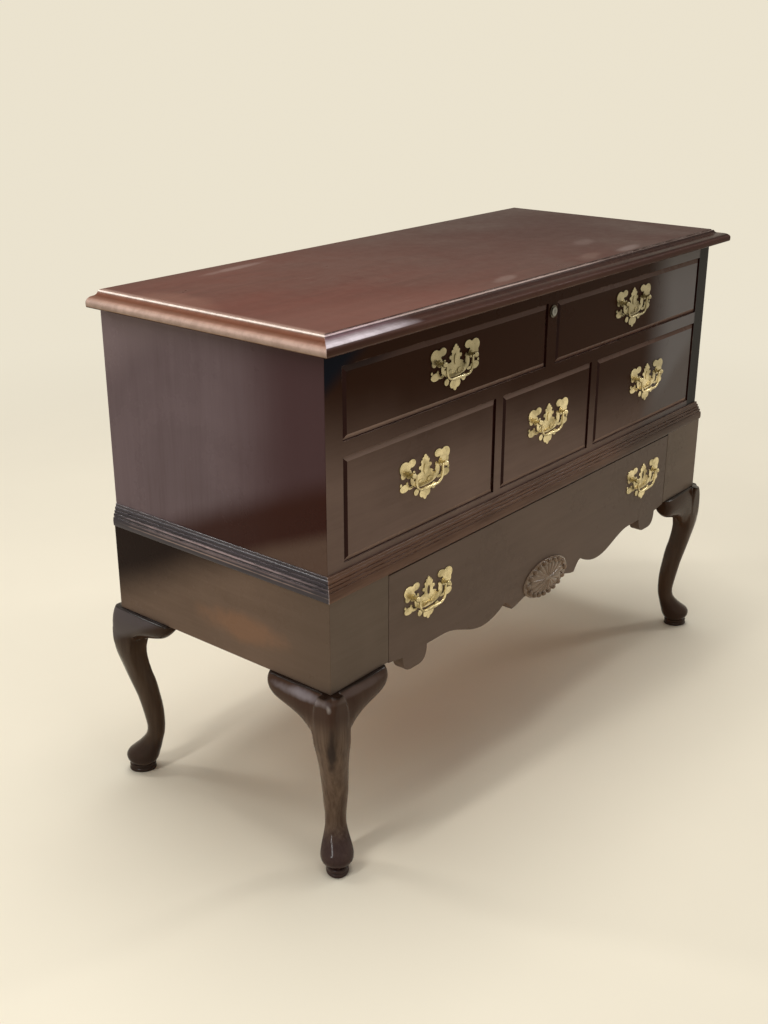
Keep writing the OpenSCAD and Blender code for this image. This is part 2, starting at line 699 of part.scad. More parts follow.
// Point i of a ring: a square with rounded corners, its sides along the two faces
function ring_point(s, i) = let (
        a = 360 * (i + 0.5) / ring_n, q = s[3],
        h = (s[1] - s[2]) / 2, half = h / (sqrt(2) - (sqrt(2) - 1) * q),
        c = -(s[1] + s[2]) / 2 / sqrt(2), k = set_at(s[0]) / sqrt(2),
        cx = cos(a), cy = sin(a), flat = half * (1 - q),
        r = half * q,
        x = flat * max(-1, min(1, 1.6 * cx)) + r * cx,
        y = flat * max(-1, min(1, 1.6 * cy)) + r * cy)
    [c + x + k, c + y - k, s[0]];
module leg_column() {
    n = len(leg_stations);
    pts = [for (s = leg_stations) for (i = [0 : ring_n - 1]) ring_point(s, i)];
    sides = [for (j = [0 : n - 2]) for (i = [0 : ring_n - 1])
        [j * ring_n + i, j * ring_n + (i + 1) % ring_n,
         (j + 1) * ring_n + (i + 1) % ring_n, (j + 1) * ring_n + i]];
    tris = [for (f = sides) for (k = [0, 1]) k == 0 ? [f[0], f[1], f[2]] : [f[0], f[2], f[3]]];
    top = [for (i = [ring_n - 1 : -1 : 0]) i];
    foot = [for (i = [0 : ring_n - 1]) (n - 1) * ring_n + i];
    polyhedron(points = pts, faces = concat([top], tris, [foot]), convexity = 4);
}
bulge_r = 46; // radius of the rounded face of the knee wing
module knee_wing(tip) {
    intersection() {
        along_x(-wing_out - 4, wing_t) polygon([[0, leg_h], [wing_len, leg_h],
            [wing_len + 1, leg_h - tip + 4], [wing_len - 5, leg_h - tip - 2],
            [0.8 * wing_len, leg_h - tip - 9], [0.6 * wing_len, leg_h - tip - 14],
            [0.45 * wing_len, leg_h - tip - 20], [0.34 * wing_len, leg_h - tip - 30],
            [0.2 * wing_len, knee_z - 26], [0, knee_z - 26]]);
        translate([bulge_r - wing_out, -10, knee_z + 8]) rotate([0, 0, -atan(9 / wing_len)])
            rotate([-90, 0, 0]) cylinder(r = bulge_r, h = wing_len + 30);
    }
}
module pad_ring(grow, z0, z1) {
    c = -(toe_out - foot_d / 2) / sqrt(2) - 1.2;
    k = foot_set / sqrt(2);
    translate([c + k, c - k, z0]) rotate(45) linear_extrude(z1 - z0)
        polygon([for (i = [0 : 31]) [(pad_long + grow) * cos(360 * i / 32), (pad_wide + grow) * sin(360 * i / 32)]]);
}
module leg(front) {
    difference() {
        union() {
            leg_column();
            knee_wing(front ? wing_tip : back_wing_tip);
            if (front) mirror([1, -1, 0]) knee_wing(wing_tip);
            translate([0, 0, knee_z]) cube([bolt_in + 14, bolt_in + 14, leg_h - knee_z]);
            pad_ring(0, 0, pad_h / 2 - 0.8);
            pad_ring(-1.6, pad_h / 2 - 1, pad_h / 2 + 1);
            pad_ring(-0.4, pad_h / 2 + 0.8, pad_h);
        }
        translate([bolt_in, bolt_in, leg_h - bolt_deep - 1]) cylinder(r = bolt_r + fit_hole, h = bolt_deep + 2);
    }
}
module leg_at_front() { translate([-base_x, -base_front, 0]) leg(true); }
module leg_at_back() { translate([-base_x, case_d, 0]) mirror([0, 1, 0]) leg(false); }
module leg_front_left() { color("#3a1a14") placed() leg_at_front(); }
module leg_front_right() { color("#3a1a14") placed() mirror([1, 0, 0]) leg_at_front(); }
module leg_back_left() { color("#3a1a14") placed() leg_at_back(); }
module leg_back_right() { color("#3a1a14") placed() mirror([1, 0, 0]) leg_at_back(); }

// Drawer
// Depth of the apron below the leg top line at a distance from the centre
function ease(t) = (1 - cos(180 * t)) / 2;
function apron_depth(x) =
    x < shell_w / 2 - 14 ? apron_low - 8 :
    x < cusp_x ? apron_low - 8 + 9 * ease((x - shell_w / 2 + 14) / (cusp_x - shell_w / 2 + 14)) :
    x < notch_x ? apron_low + 1 - (apron_low + 1 - notch_deep) * sin(90 * (x - cusp_x) / (notch_x - cusp_x)) :
    x < wave_x ? apron_low - (apron_low - notch_deep) * pow(1 - (x - notch_x) / (wave_x - notch_x), 2) :
    x < flat_x ? apron_low - (apron_low - apron_high) * ease((x - wave_x) / (flat_x - wave_x)) :
    x < lobe_x - lobe_half ? apron_high :
    x < lobe_x + lobe_half ? apron_high + (apron_low - apron_high) * sqrt(max(0, 1 - pow((x - lobe_x) / lobe_half, 4))) :
    apron_high + (apron_end - apron_high) * (x - lobe_x - lobe_half) / (front_half - lobe_x - lobe_half);
function apron_stops(x0, x1, n) = [for (i = [0 : n - 1]) x0 + (x1 - x0) * i / n];
lobe_steps = 20; // short faces along each end lobe
apron_xs = concat(apron_stops(0, cusp_x, 8), apron_stops(cusp_x, notch_x, 6),
    apron_stops(notch_x, wave_x, 10), apron_stops(wave_x, flat_x, 12),
    [flat_x], [for (i = [0 : lobe_steps]) lobe_x - lobe_half * cos(180 * i / lobe_steps)], [front_half]);
module drawer_front() {
    n = len(apron_xs) - 1;
    color("#3d1c16") placed() difference() {
        along_y(-base_front, box_front) polygon(concat(
            [[-front_half, base_top - drawer_top_gap], [front_half, base_top - drawer_top_gap]],
            [for (i = [n : -1 : 0]) [apron_xs[i], leg_h - apron_depth(apron_xs[i])]],
            [for (i = [1 : n]) [-apron_xs[i], leg_h - apron_depth(apron_xs[i])]]));
        for (s = [-1, 1]) pull_holes(s * drawer_pull_x, leg_h + drawer_pull_up, -base_front, drawer_front_t);
    }
}
module drawer_side() {
    box([box_half - drawer_side_t, box_front, runner_top], [box_half, box_back, runner_top + drawer_side_h]);
}
module drawer_side_left() { color("#b48a5a") placed() mirror([1, 0, 0]) drawer_side(); }
module drawer_side_right() { color("#b48a5a") placed() drawer_side(); }
module drawer_back() {
    x = box_half - drawer_side_t;
    color("#b48a5a") placed() box([-x, box_back - drawer_side_t, box_bottom], [x, box_back, runner_top + drawer_side_h]);
}
module drawer_bottom() {
    x = box_half - drawer_side_t;
    color("#c08a5e") placed() box([-x, box_front, box_bottom], [x, box_back - drawer_side_t, box_bottom + drawer_bottom_t]);
}
shell_z = leg_h - 9;
// Radius share of the scalloped rim at angle a
function rim(a) = 0.93 + 0.07 * abs(sin(a * shell_lobes / 2));
module shell_carving() {
    steps = shell_lobes * 6;
    color("#6b3c2a") placed() {
        along_y(-base_front - shell_t * 0.55, -base_front) polygon([for (i = [0 : steps - 1])
            let (a = 360 * i / steps) [shell_w / 2 * rim(a) * cos(a), shell_z + shell_h / 2 * rim(a) * sin(a)]]);
        along_y(-base_front - shell_t, -base_front - shell_t * 0.5) polygon([for (i = [0 : steps - 1])
            let (a = 360 * i / steps) [0.82 * shell_w / 2 * rim(a) * cos(a), shell_z + 0.82 * shell_h / 2 * rim(a) * sin(a)]]);
    }
}

// Pulls. Drawn round the middle of the plate, which lies on the face at y0.
nut_r = 4.5;
nut_t = 4;
module plate_outline() {
    pw = post_gap / 2;
    difference() {
        union() {
            for (s = [-1, 1]) {
                translate([s * (pw - 4.5), plate_h / 2 - 9.5]) circle(r = 9.2);
                translate([s * (plate_w / 2 - 9), plate_h / 2 - 12]) circle(r = 9);
                translate([s * (plate_w / 2 - 10), post_up + 3]) circle(r = 8);
                translate([s * pw, post_up - 2]) circle(r = 9);
                translate([s * (pw + 4), 4]) circle(r = 6);
                translate([s * (plate_w / 2 - 12), -6]) circle(r = 9);
                translate([s * (pw - 7), 0]) circle(r = 8);
                translate([s * 20.5, -19]) circle(r = 6);
            }
            translate([-30, -15]) square([60, 18]);
            polygon([[-15, 0], [-15, 15], [-9, 23], [0, plate_h / 2 - 2], [9, 23], [15, 15], [15, 0]]);
            translate([0, -23]) circle(r = 9);
            polygon([[-7, -28], [7, -28], [0, -plate_h / 2]]);
        }
        for (y = [8, 14]) translate([0, y]) circle(r = 3.4);
        translate([-3.4, 8]) square([6.8, 6]);
        for (s = [-1, 1]) translate([s * 11, -7]) circle(r = 4);
        for (s = [-1, 1]) translate([s * 25, 1]) circle(r = 2.6);
        for (s = [-1, 1]) translate([s * pw, post_up]) circle(r = stem_r + fit_hole);
    }
}
module pull_plate(x, z, y0) { translate([x, 0, z]) along_y(y0 - plate_t, y0) plate_outline(); }
// One turned post: ball head, collar on the plate, stem through the wood and nut behind it
module pull_post(x, z, y0, t) {
    for (s = [-1, 1]) translate([x + s * post_gap / 2, y0, z + post_up]) difference() {
        rotate([90, 0, 0]) rotate_extrude() union() {
            intersection() {
                translate([0, pivot_out]) circle(r = head_r);
                translate([0, 0]) square([head_r + 1, pivot_out + head_r + 1]);
            }
            translate([0, -t]) square([stem_r, t + pivot_out - 1]);
            translate([0, plate_t]) square([stem_r + 2.6, 1.8]);
            translate([0, -t]) square([nut_r, nut_t]);
        }
        rod_x(-head_r - 1, head_r + 1, pivot_r + fit_run, -pivot_out, 0);
    }
}
bail_bend = 15; // radius of the two lower bends of the bail
bail_top = 2; // arm of the bail above its pivot
module bail(x, z, y0) {
    arm = post_gap / 2 - head_r - fit_gap - bail_r;
    y = y0 - pivot_out;
    translate([x, y, z + post_up]) {
        left_right() {
            translate([arm, 0, bail_bend - bail_drop]) cylinder(r = bail_r, h = bail_drop - bail_bend + bail_top);
            translate([arm - bail_bend, 0, bail_bend - bail_drop]) rotate([90, 0, 0])
                rotate([0, 0, -90]) rotate_extrude(angle = 90) translate([bail_bend, 0]) circle(r = bail_r);
            rod_x(arm, post_gap / 2 + head_r - 1, pivot_r, 0, 0);
        }
        rod_x(bail_bend - arm, arm - bail_bend, bail_r, 0, -bail_drop);
        rod_x(-(arm - bail_bend) * 0.7, (arm - bail_bend) * 0.7, bail_mid_r, 0, -bail_drop);
    }
}
module case_pull_plates() { color("#b5953f") placed() for (p = case_pulls) pull_plate(p[0], p[1], 0); }
module case_pull_posts() { color("#b5953f") placed() for (p = case_pulls) pull_post(p[0], p[1], 0, front_t); }
module drawer_pull_plates() {
    color("#b5953f") placed() for (s = [-1, 1]) pull_plate(s * drawer_pull_x, leg_h + drawer_pull_up, -base_front);
}
module drawer_pull_posts() {
    color("#b5953f") placed() for (s = [-1, 1])
        pull_post(s * drawer_pull_x, leg_h + drawer_pull_up, -base_front, drawer_front_t);
}
module bail_upper_left() { color("#c7a94e") placed() bail(-upper_x, upper_z, 0); }
module bail_upper_right() { color("#c7a94e") placed() bail(upper_x, upper_z, 0); }
module bail_lower_left() { color("#c7a94e") placed() bail(-lower_x, lower_z, 0); }
module bail_lower_centre() { color("#c7a94e") placed() bail(0, lower_z, 0); }
module bail_lower_right() { color("#c7a94e") placed() bail(lower_x, lower_z, 0); }
module bail_drawer_left() { color("#c7a94e") placed() bail(-drawer_pull_x, leg_h + drawer_pull_up, -base_front); }
module bail_drawer_right() { color("#c7a94e") placed() bail(drawer_pull_x, leg_h + drawer_pull_up, -base_front); }

lid_panel();
lid_liner();
lid_hinge_leaves();
lock_strike();
stay_brackets();
stay_arm_left();
stay_arm_right();
side_panel_left();
side_panel_right();
front_panel();
back_panel();
chest_floor();
lining_front();
lining_back();
lining_left();
lining_right();
case_hinge_leaves();
hinge_pins();
stay_guide_pins();
lock_case();
lock_ring();
lock_button();
key_plug();
waist_moulding_front();
waist_moulding_left();
waist_moulding_right();
side_rail_left();
side_rail_right();
back_rail();
front_stile_left();
front_stile_right();
drawer_runner_left();
drawer_runner_right();
kickers();
drawer_stops();
leg_blocks();
leg_front_left();
leg_front_right();
leg_back_left();
leg_back_right();
leg_bolts();
case_pull_plates();
case_pull_posts();
drawer_front();
drawer_side_left();
drawer_side_right();
drawer_back();
drawer_bottom();
shell_carving();
drawer_pull_plates();
drawer_pull_posts();
bail_upper_left();
bail_upper_right();
bail_lower_left();
bail_lower_centre();
bail_lower_right();
bail_drawer_left();
bail_drawer_right();
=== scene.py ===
import json
import math

import bmesh
import bpy
from mathutils import Matrix, Vector


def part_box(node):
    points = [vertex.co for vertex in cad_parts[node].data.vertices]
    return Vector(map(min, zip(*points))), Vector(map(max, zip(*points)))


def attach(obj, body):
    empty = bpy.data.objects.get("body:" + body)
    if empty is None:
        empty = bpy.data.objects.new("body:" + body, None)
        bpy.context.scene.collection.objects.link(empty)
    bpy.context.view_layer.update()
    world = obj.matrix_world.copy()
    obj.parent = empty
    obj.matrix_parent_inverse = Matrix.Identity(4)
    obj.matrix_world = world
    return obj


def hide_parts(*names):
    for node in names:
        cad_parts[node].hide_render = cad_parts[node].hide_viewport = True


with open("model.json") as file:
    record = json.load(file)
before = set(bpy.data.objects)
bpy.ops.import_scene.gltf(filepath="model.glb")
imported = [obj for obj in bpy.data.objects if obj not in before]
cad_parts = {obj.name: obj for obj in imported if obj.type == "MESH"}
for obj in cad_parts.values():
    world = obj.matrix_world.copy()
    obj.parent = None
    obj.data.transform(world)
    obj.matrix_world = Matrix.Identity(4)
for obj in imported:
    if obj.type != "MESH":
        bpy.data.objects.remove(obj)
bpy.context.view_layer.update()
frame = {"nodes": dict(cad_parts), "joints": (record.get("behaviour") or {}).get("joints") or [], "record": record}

# Lift-top chest on cabriole legs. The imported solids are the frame: what shows most is
# modelled again here in finer form, and everything gets its finish here.
mm = 0.001
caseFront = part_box("front_panel")[0].y      # front face of the case
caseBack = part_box("back_panel")[1].y
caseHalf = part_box("front_panel")[1].x
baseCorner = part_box("front_stile_left")[0]   # left front corner of the base, at the top of the legs


# Mesh helpers

def only(piece):
    bpy.ops.object.select_all(action="DESELECT")
    piece.select_set(True)
    bpy.context.view_layer.objects.active = piece


def openMesh(piece):
    # edit mode, with everything selected
    only(piece)
    bpy.ops.object.mode_set(mode="EDIT")
    bpy.ops.mesh.select_all(action="SELECT")


def closeMesh():
    bpy.ops.object.mode_set(mode="OBJECT")


def pick(kind, test):
    # selects vertices, edges or faces of the open mesh by a test of their place or normal
    bpy.ops.mesh.select_mode(type={"verts": "VERT", "edges": "EDGE", "faces": "FACE"}[kind])
    bpy.ops.mesh.select_all(action="DESELECT")
    mesh = bpy.context.edit_object.data
    form = bmesh.from_edit_mesh(mesh)
    for part in getattr(form, kind):
        if test(part):
            part.select_set(True)
    bmesh.update_edit_mesh(mesh, loop_triangles=False, destructive=False)


def place(piece):
    only(piece)
    bpy.ops.object.transform_apply(location=True, rotation=True, scale=True)
    return piece


def addBox(low, high):
    low, high = Vector(low), Vector(high)
    bpy.ops.mesh.primitive_cube_add(size=1, location=(low + high) / 2, scale=high - low)
    return place(bpy.context.object)


def addRod(start, end, radius, count=24):
    # a plain rod between two points, used as a cutter
    start, end = Vector(start), Vector(end)
    turn = (end - start).to_track_quat("Z", "Y").to_euler()
    bpy.ops.mesh.primitive_cylinder_add(
        vertices=count, radius=radius, depth=(end - start).length,
        location=(start + end) / 2, rotation=turn)
    return place(bpy.context.object)


def joinAll(pieces):
    bpy.ops.object.select_all(action="DESELECT")
    for piece in pieces:
        piece.select_set(True)
    bpy.context.view_layer.objects.active = pieces[0]
    bpy.ops.object.join()
    return bpy.context.object


def applied(piece, kind, **values):
    change = piece.modifiers.new(kind.lower(), kind)
    for key, value in values.items():
        setattr(change, key, value)
    only(piece)
    bpy.ops.object.modifier_apply(modifier=change.name)
    return piece


def carve(piece, cutter):
    applied(piece, "BOOLEAN", operation="DIFFERENCE", solver="EXACT", use_self=True, object=cutter)
    bpy.data.objects.remove(cutter)
    return piece


def cutAt(piece, point, normal):
    # takes away what lies beyond a plane
    openMesh(piece)
    bpy.ops.mesh.bisect(plane_co=point, plane_no=normal, clear_outer=True, use_fill=True)
    closeMesh()
    return piece


def copyMesh(source):
    twin = bpy.data.objects.new("copy", source.data.copy())
    bpy.context.scene.collection.objects.link(twin)
    return twin


def copyNode(node):
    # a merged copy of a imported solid, with its flat faces whole again
    twin = copyMesh(frame["nodes"][node])
    twin.data.materials.clear()
    openMesh(twin)
    bpy.ops.mesh.remove_doubles(threshold=0.00001)
    bpy.ops.mesh.customdata_custom_splitnormals_clear()
    bpy.ops.mesh.dissolve_limited(angle_limit=math.radians(0.6))
    closeMesh()
    return twin


def outwards(piece):
    openMesh(piece)
    bpy.ops.mesh.remove_doubles(threshold=0.000005)
    bpy.ops.mesh.normals_make_consistent(inside=False)
    closeMesh()
    return piece


def mirrored(source):
    # the same piece on the other side of the middle
    twin = copyMesh(source)
    twin.scale.x = -1
    place(twin)
    return outwards(twin)


def capEnds(piece):
    # closes the open ends of the open mesh
    bpy.ops.mesh.select_mode(type="EDGE")
    bpy.ops.mesh.select_all(action="DESELECT")
    bpy.ops.mesh.select_non_manifold()
    if any(edge.select for edge in bmesh.from_edit_mesh(piece.data).edges):
        bpy.ops.mesh.edge_face_add()


finished = []   # new pieces and their slots, for the finishes


def finish(piece, name, body, stands, slotName, smooth=35, weigh=True):
    # shading, name, body, the solids that it stands for and its slot
    place(piece)
    bpy.ops.object.shade_smooth_by_angle(angle=math.radians(smooth))
    if weigh:
        applied(piece, "WEIGHTED_NORMAL", keep_sharp=True, weight=50)
    piece.name = name
    piece.data.name = name
    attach(piece, body)
    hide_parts(*stands)
    finished.append((piece, slotName))


def quarter(start, end, steps, upright=True):
    # points of a quarter round that leaves its start upright, or else level
    points = []
    for i in range(1, steps + 1):
        a = math.radians(90 * i / steps)
        share = (1 - math.cos(a), math.sin(a)) if upright else (math.sin(a), 1 - math.cos(a))
        points.append([start[k] + (end[k] - start[k]) * share[k] for k in (0, 1)])
    return points


def walkFace(up, half, centre, start, steps):
    # steps the top (or lowest) face of a block inwards and along z, as a moulding's section says
    pick("faces", lambda face: face.normal.z * up > 0.99)
    insetNow, heightNow = start
    for inset, height in steps:
        bpy.ops.mesh.extrude_region_move(
            TRANSFORM_OT_translate={"value": (0, 0, (height - heightNow) * mm)})
        ratio = [(side - inset * mm) / (side - insetNow * mm) for side in half]
        bpy.ops.transform.resize(value=(ratio[0], ratio[1], 1), center_override=centre)
        insetNow, heightNow = inset, height


def stackRings(along, stations, count=32):
    # a closed stack of oval rings along one axis: [place, middle, middle, half, half] in mm
    others = [axis for axis in range(3) if axis != along]

    def middle(station):
        point = Vector((0, 0, 0))
        point[along] = station[0] * mm
        point[others[0]], point[others[1]] = station[1] * mm, station[2] * mm
        return point
    first = stations[0]
    turn = {0: (0, math.pi / 2, 0), 1: (-math.pi / 2, 0, 0), 2: (0, 0, 0)}[along]
    bpy.ops.mesh.primitive_circle_add(
        vertices=count, radius=mm, fill_type="NGON", location=middle(first), rotation=turn)
    stack = place(bpy.context.object)
    openMesh(stack)
    size = [1.0, 1.0, 1.0]
    size[others[0]], size[others[1]] = first[3], first[4]
    bpy.ops.transform.resize(value=size, center_override=middle(first))
    for last, station in zip(stations, stations[1:]):
        bpy.ops.mesh.extrude_region_move(
            TRANSFORM_OT_translate={"value": middle(station) - middle(last)})
        size = [1.0, 1.0, 1.0]
        size[others[0]], size[others[1]] = station[3] / last[3], station[4] / last[4]
        bpy.ops.transform.resize(value=size, center_override=middle(station))
    capEnds(stack)
    bpy.ops.mesh.select_all(action="SELECT")
    bpy.ops.mesh.normals_make_consistent(inside=False)
    closeMesh()
    return stack


# Lid: one moulded board, cut off straight at the back

lidBoard = {
    "lip": (3.0, 7.2),          # square lip of the edge above the underside
    "foot": [(0.5, 1.2), (1.4, 0.4), (3.0, 0.0)],
    "nose": (13.5, 15.6),       # end of the upper roundover, inwards and up
    "cove": (23.4, 20.9),       # end of the cove
    "quirk": [(23.9, 21.35), (24.3, 21.5), (26.9, 21.55), (27.05, 21.7), (27.2, 22.6), (27.5, 22.9),
              (28.0, 23.0)],
    "steps": 8,
    "spare": 80.0,              # sawn off at the back
    "seat": (76.0, 1.6),        # length and depth of the seat of a hinge leaf
    "play": 0.2,
}


def makeLid():
    board = lidBoard
    low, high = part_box("lid_panel")
    spare = board["spare"] * mm
    half = (high.x, (high.y + spare - low.y) / 2)
    centre = Vector((0, (high.y + spare + low.y) / 2, low.z))
    lip0, lip1 = board["lip"]
    lid = addBox((low.x, low.y, low.z + lip0 * mm), (high.x, high.y + spare, low.z + lip1 * mm))
    rise = quarter((0, lip1), board["nose"], board["steps"])
    rise += quarter(board["nose"], board["cove"], board["steps"], False)
    openMesh(lid)
    walkFace(1, half, centre, (0, lip1), rise + board["quirk"])
    walkFace(-1, half, centre, (0, lip0), board["foot"])
    closeMesh()
    cutAt(lid, (0, high.y, 0), (0, 1, 0))
    long, deep = (size * mm for size in board["seat"])
    play = board["play"] * mm
    leafLow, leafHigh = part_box("lid_hinge_leaves")
    for side in (-1, 1):   # seats of the two hinge leaves
        xs = sorted((side * (leafHigh.x - long - play), side * (leafHigh.x + play)))
        carve(lid, addBox((xs[0], leafLow.y - play / 2, low.z - 0.001),
                          (xs[1], high.y + 0.001, low.z + deep)))
    finish(lid, "lid_board", "lid", ["lid_panel"], "top_wood", smooth=30)


makeLid()
print("lid made")


# Case front: one board with five false drawers, each a raised field in a sunk border

caseFrontBoard = {
    "upperRow": (672.0, 766.4),     # middle lines of the borders
    "lowerRow": (497.0, 642.0),
    "upperEnds": (18.0, 505.0),
    "lowerEnds": (156.0, 505.0),
    "middleEnds": (-128.0, 128.0),
    "reach": 4.5,         # outer edge of a border beyond its middle line
    "depth": 3.4,
    "quirk": 1.0,         # flat at the foot of the slope
    "slope": 7.4,         # width of the slope up to the field
    "arris": 0.9,         # softening of the two outer corners of the board
    "lockHole": 8.9,      # radius
}


def borderCutter(x0, x1, z0, z1):
    # a pocket less the field that stays raised in it
    board = caseFrontBoard
    reach, depth, quirk, slope = (board[key] * mm for key in ("reach", "depth", "quirk", "slope"))
    above, below = 0.002, 0.0004
    low = Vector((x0 * mm - reach, caseFront - above, z0 * mm - reach))
    high = Vector((x1 * mm + reach, caseFront + depth, z1 * mm + reach))
    pocket = addBox(low, high)
    inset = quirk - slope * below / depth
    field = addBox((low.x + inset, low.y - 0.001, low.z + inset),
                   (high.x - inset, high.y + below, high.z - inset))
    draw = slope * (depth + above + 0.001 + below) / depth
    share = [1 - 2 * draw / (high[axis] - low[axis] - 2 * inset) for axis in (0, 2)]
    openMesh(field)
    pick("faces", lambda face: face.normal.y < -0.9)
    bpy.ops.transform.resize(value=(share[0], 1, share[1]), center_override=(low + high) / 2)
    closeMesh()
    return carve(pocket, field)


def makeCaseFront():
    board = caseFrontBoard
    low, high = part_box("front_panel")
    panel = addBox(low, high)
    openMesh(panel)
    pick("edges", lambda edge: all(vert.co.y < low.y + 0.001 for vert in edge.verts)
         and abs(edge.verts[0].co.x - edge.verts[1].co.x) < 0.001)
    bpy.ops.mesh.bevel(offset=board["arris"] * mm, segments=3, affect="EDGES")
    closeMesh()
    tools = [borderCutter(*board["middleEnds"], *board["lowerRow"])]
    for side in (-1, 1):
        for row in ("upper", "lower"):
            tools.append(borderCutter(*sorted(side * x for x in board[row + "Ends"]), *board[row + "Row"]))
    ringLow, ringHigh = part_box("lock_ring")
    lockZ = (ringLow.z + ringHigh.z) / 2
    tools.append(addRod((0, low.y - 0.001, lockZ), (0, high.y + 0.001, lockZ),
                        board["lockHole"] * mm, 40))
    carve(panel, joinAll(tools))
    finish(panel, "case_front_board", "carcase", ["front_panel"], "case_wood", smooth=20)


makeCaseFront()
print("case front made")


# Waist moulding: three reeds over a round nose, on the front and both sides

waistMoulding = {
    "height": 35.0,
    "nose": 14.0,         # height of the round nose
    "noseSet": 0.95,      # how far its ends lie back
    "reed": 5.0,          # height of each reed
    "reeds": 3,
    "reedSet": (2.95, 1.76),    # middle of the first reed inwards, and the step to the next
    "reedOut": 1.15,      # how far a reed stands out
    "reedTurn": 82.0,     # degrees that a reed turns to each side
    "top": [(7.4, 4.2), (7.6, 0.5), (8.2, 0.0)],    # inwards, and down from the top
    "steps": 6,
    "spare": 50.0,        # sawn off at the back
}


def makeWaist():
    part, steps = waistMoulding, waistMoulding["steps"]
    low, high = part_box("waist_moulding_front")
    halfX, front = high.x, low.y
    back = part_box("waist_moulding_left")[1].y
    spare = part["spare"] * mm
    half = (halfX, (back + spare - front) / 2)
    centre = Vector((0, (back + spare + front) / 2, low.z))
    mid = part["nose"] / 2
    rise = quarter((0, mid), (part["noseSet"], part["nose"]), steps)
    fall = quarter((0, mid), (part["noseSet"], 0), steps)
    for j in range(part["reeds"]):
        for i in range(steps + 1):
            a = math.radians(part["reedTurn"] * (2 * i / steps - 1))
            rise.append((part["reedSet"][0] + part["reedSet"][1] * j - part["reedOut"] * math.cos(a),
                         part["nose"] + 1 + part["reed"] * (j + 0.5 + 0.5 * math.sin(a))))
    rise += [(inwards, part["height"] - down) for inwards, down in part["top"]]
    ring = addBox((-halfX, front, low.z + mid * mm), (halfX, back + spare, low.z + (mid + 0.05) * mm))
    openMesh(ring)
    walkFace(1, half, centre, (0, mid + 0.05), rise)
    walkFace(-1, half, centre, (0, mid), fall)
    closeMesh()
    inner = addBox((-caseHalf, caseFront, low.z - 0.01), (caseHalf, back + 0.2, high.z + 0.01))
    carve(ring, inner)
    cutAt(ring, (0, back, 0), (0, 1, 0))
    for side, name, planes in ((0, "front", [(-1, 1), (1, 1)]), (-1, "left", [(-1, -1)]),
                               (1, "right", [(1, -1)])):
        strip = copyMesh(ring)
        for end, keepFront in planes:   # cut along the mitre through the case corner
            corner = Vector((end * caseHalf, caseFront, 0))
            along = (Vector((end * halfX, front, 0)) - corner).normalized()
            cutAt(strip, corner, Vector((-along.y, along.x, 0)) * end * keepFront)
        if side:   # each side piece keeps its own half
            cutAt(strip, (0, 0, 0), (-side, 0, 0))
        finish(outwards(strip), "waist_" + name, "carcase", ["waist_moulding_" + name], "case_wood",
               smooth=32)
    bpy.data.objects.remove(ring)


makeWaist()
print("waist moulding made")


# Plain boards of the base: copies of the solids with their visible arrises softened

baseBoards = {
    # name, softening
    "side_rail_left": ("base_side_left", 0.9),
    "side_rail_right": ("base_side_right", 0.9),
    "back_rail": ("base_back", 0.7),
    "front_stile_left": ("base_stile_left", 0.8),
    "front_stile_right": ("base_stile_right", 0.8),
    "drawer_front": ("drawer_front_board", 1.1),
}
pullSpace = (50.0, 350.0, 430.0)    # the holes of the pulls in the drawer front, each side of their middle


def softened(node, body, test):
    board = copyNode(node)
    name, width = baseBoards[node]
    openMesh(board)
    pick("edges", lambda edge: len(edge.link_faces) == 2 and edge.calc_face_angle(0) > 0.6 and test(edge))
    bpy.ops.mesh.bevel(offset=width * mm, segments=3, affect="EDGES", clamp_overlap=False)
    closeMesh()
    finish(board, name, body, [node], "case_wood")


def makeBase():
    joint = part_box("side_rail_left")[0].y    # the side rails meet the stiles here without a line

    def offJoint(edge):
        return any(abs(vert.co.y - joint) >= 0.0004 for vert in edge.verts)
    for node in list(baseBoards)[:-1]:
        softened(node, "carcase", offJoint)
    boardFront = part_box("drawer_front")[0].y
    holes = [sum(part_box(node), Vector()).x / 2 for node in ("bail_drawer_left", "bail_drawer_right")]
    reach, lowest, highest = (size * mm for size in pullSpace)

    def onFront(edge):
        spots = [vert.co for vert in edge.verts]
        if any(abs(spot.y - boardFront) >= 0.0005 for spot in spots):
            return False
        return not any(abs(spot.x - x) < reach and lowest < spot.z < highest
                       for spot in spots for x in holes)
    softened("drawer_front", "drawer", onFront)


makeBase()
print("base and drawer front made")


# Cabriole legs: an oval column, a knee wing on each shown side and a two ring pad

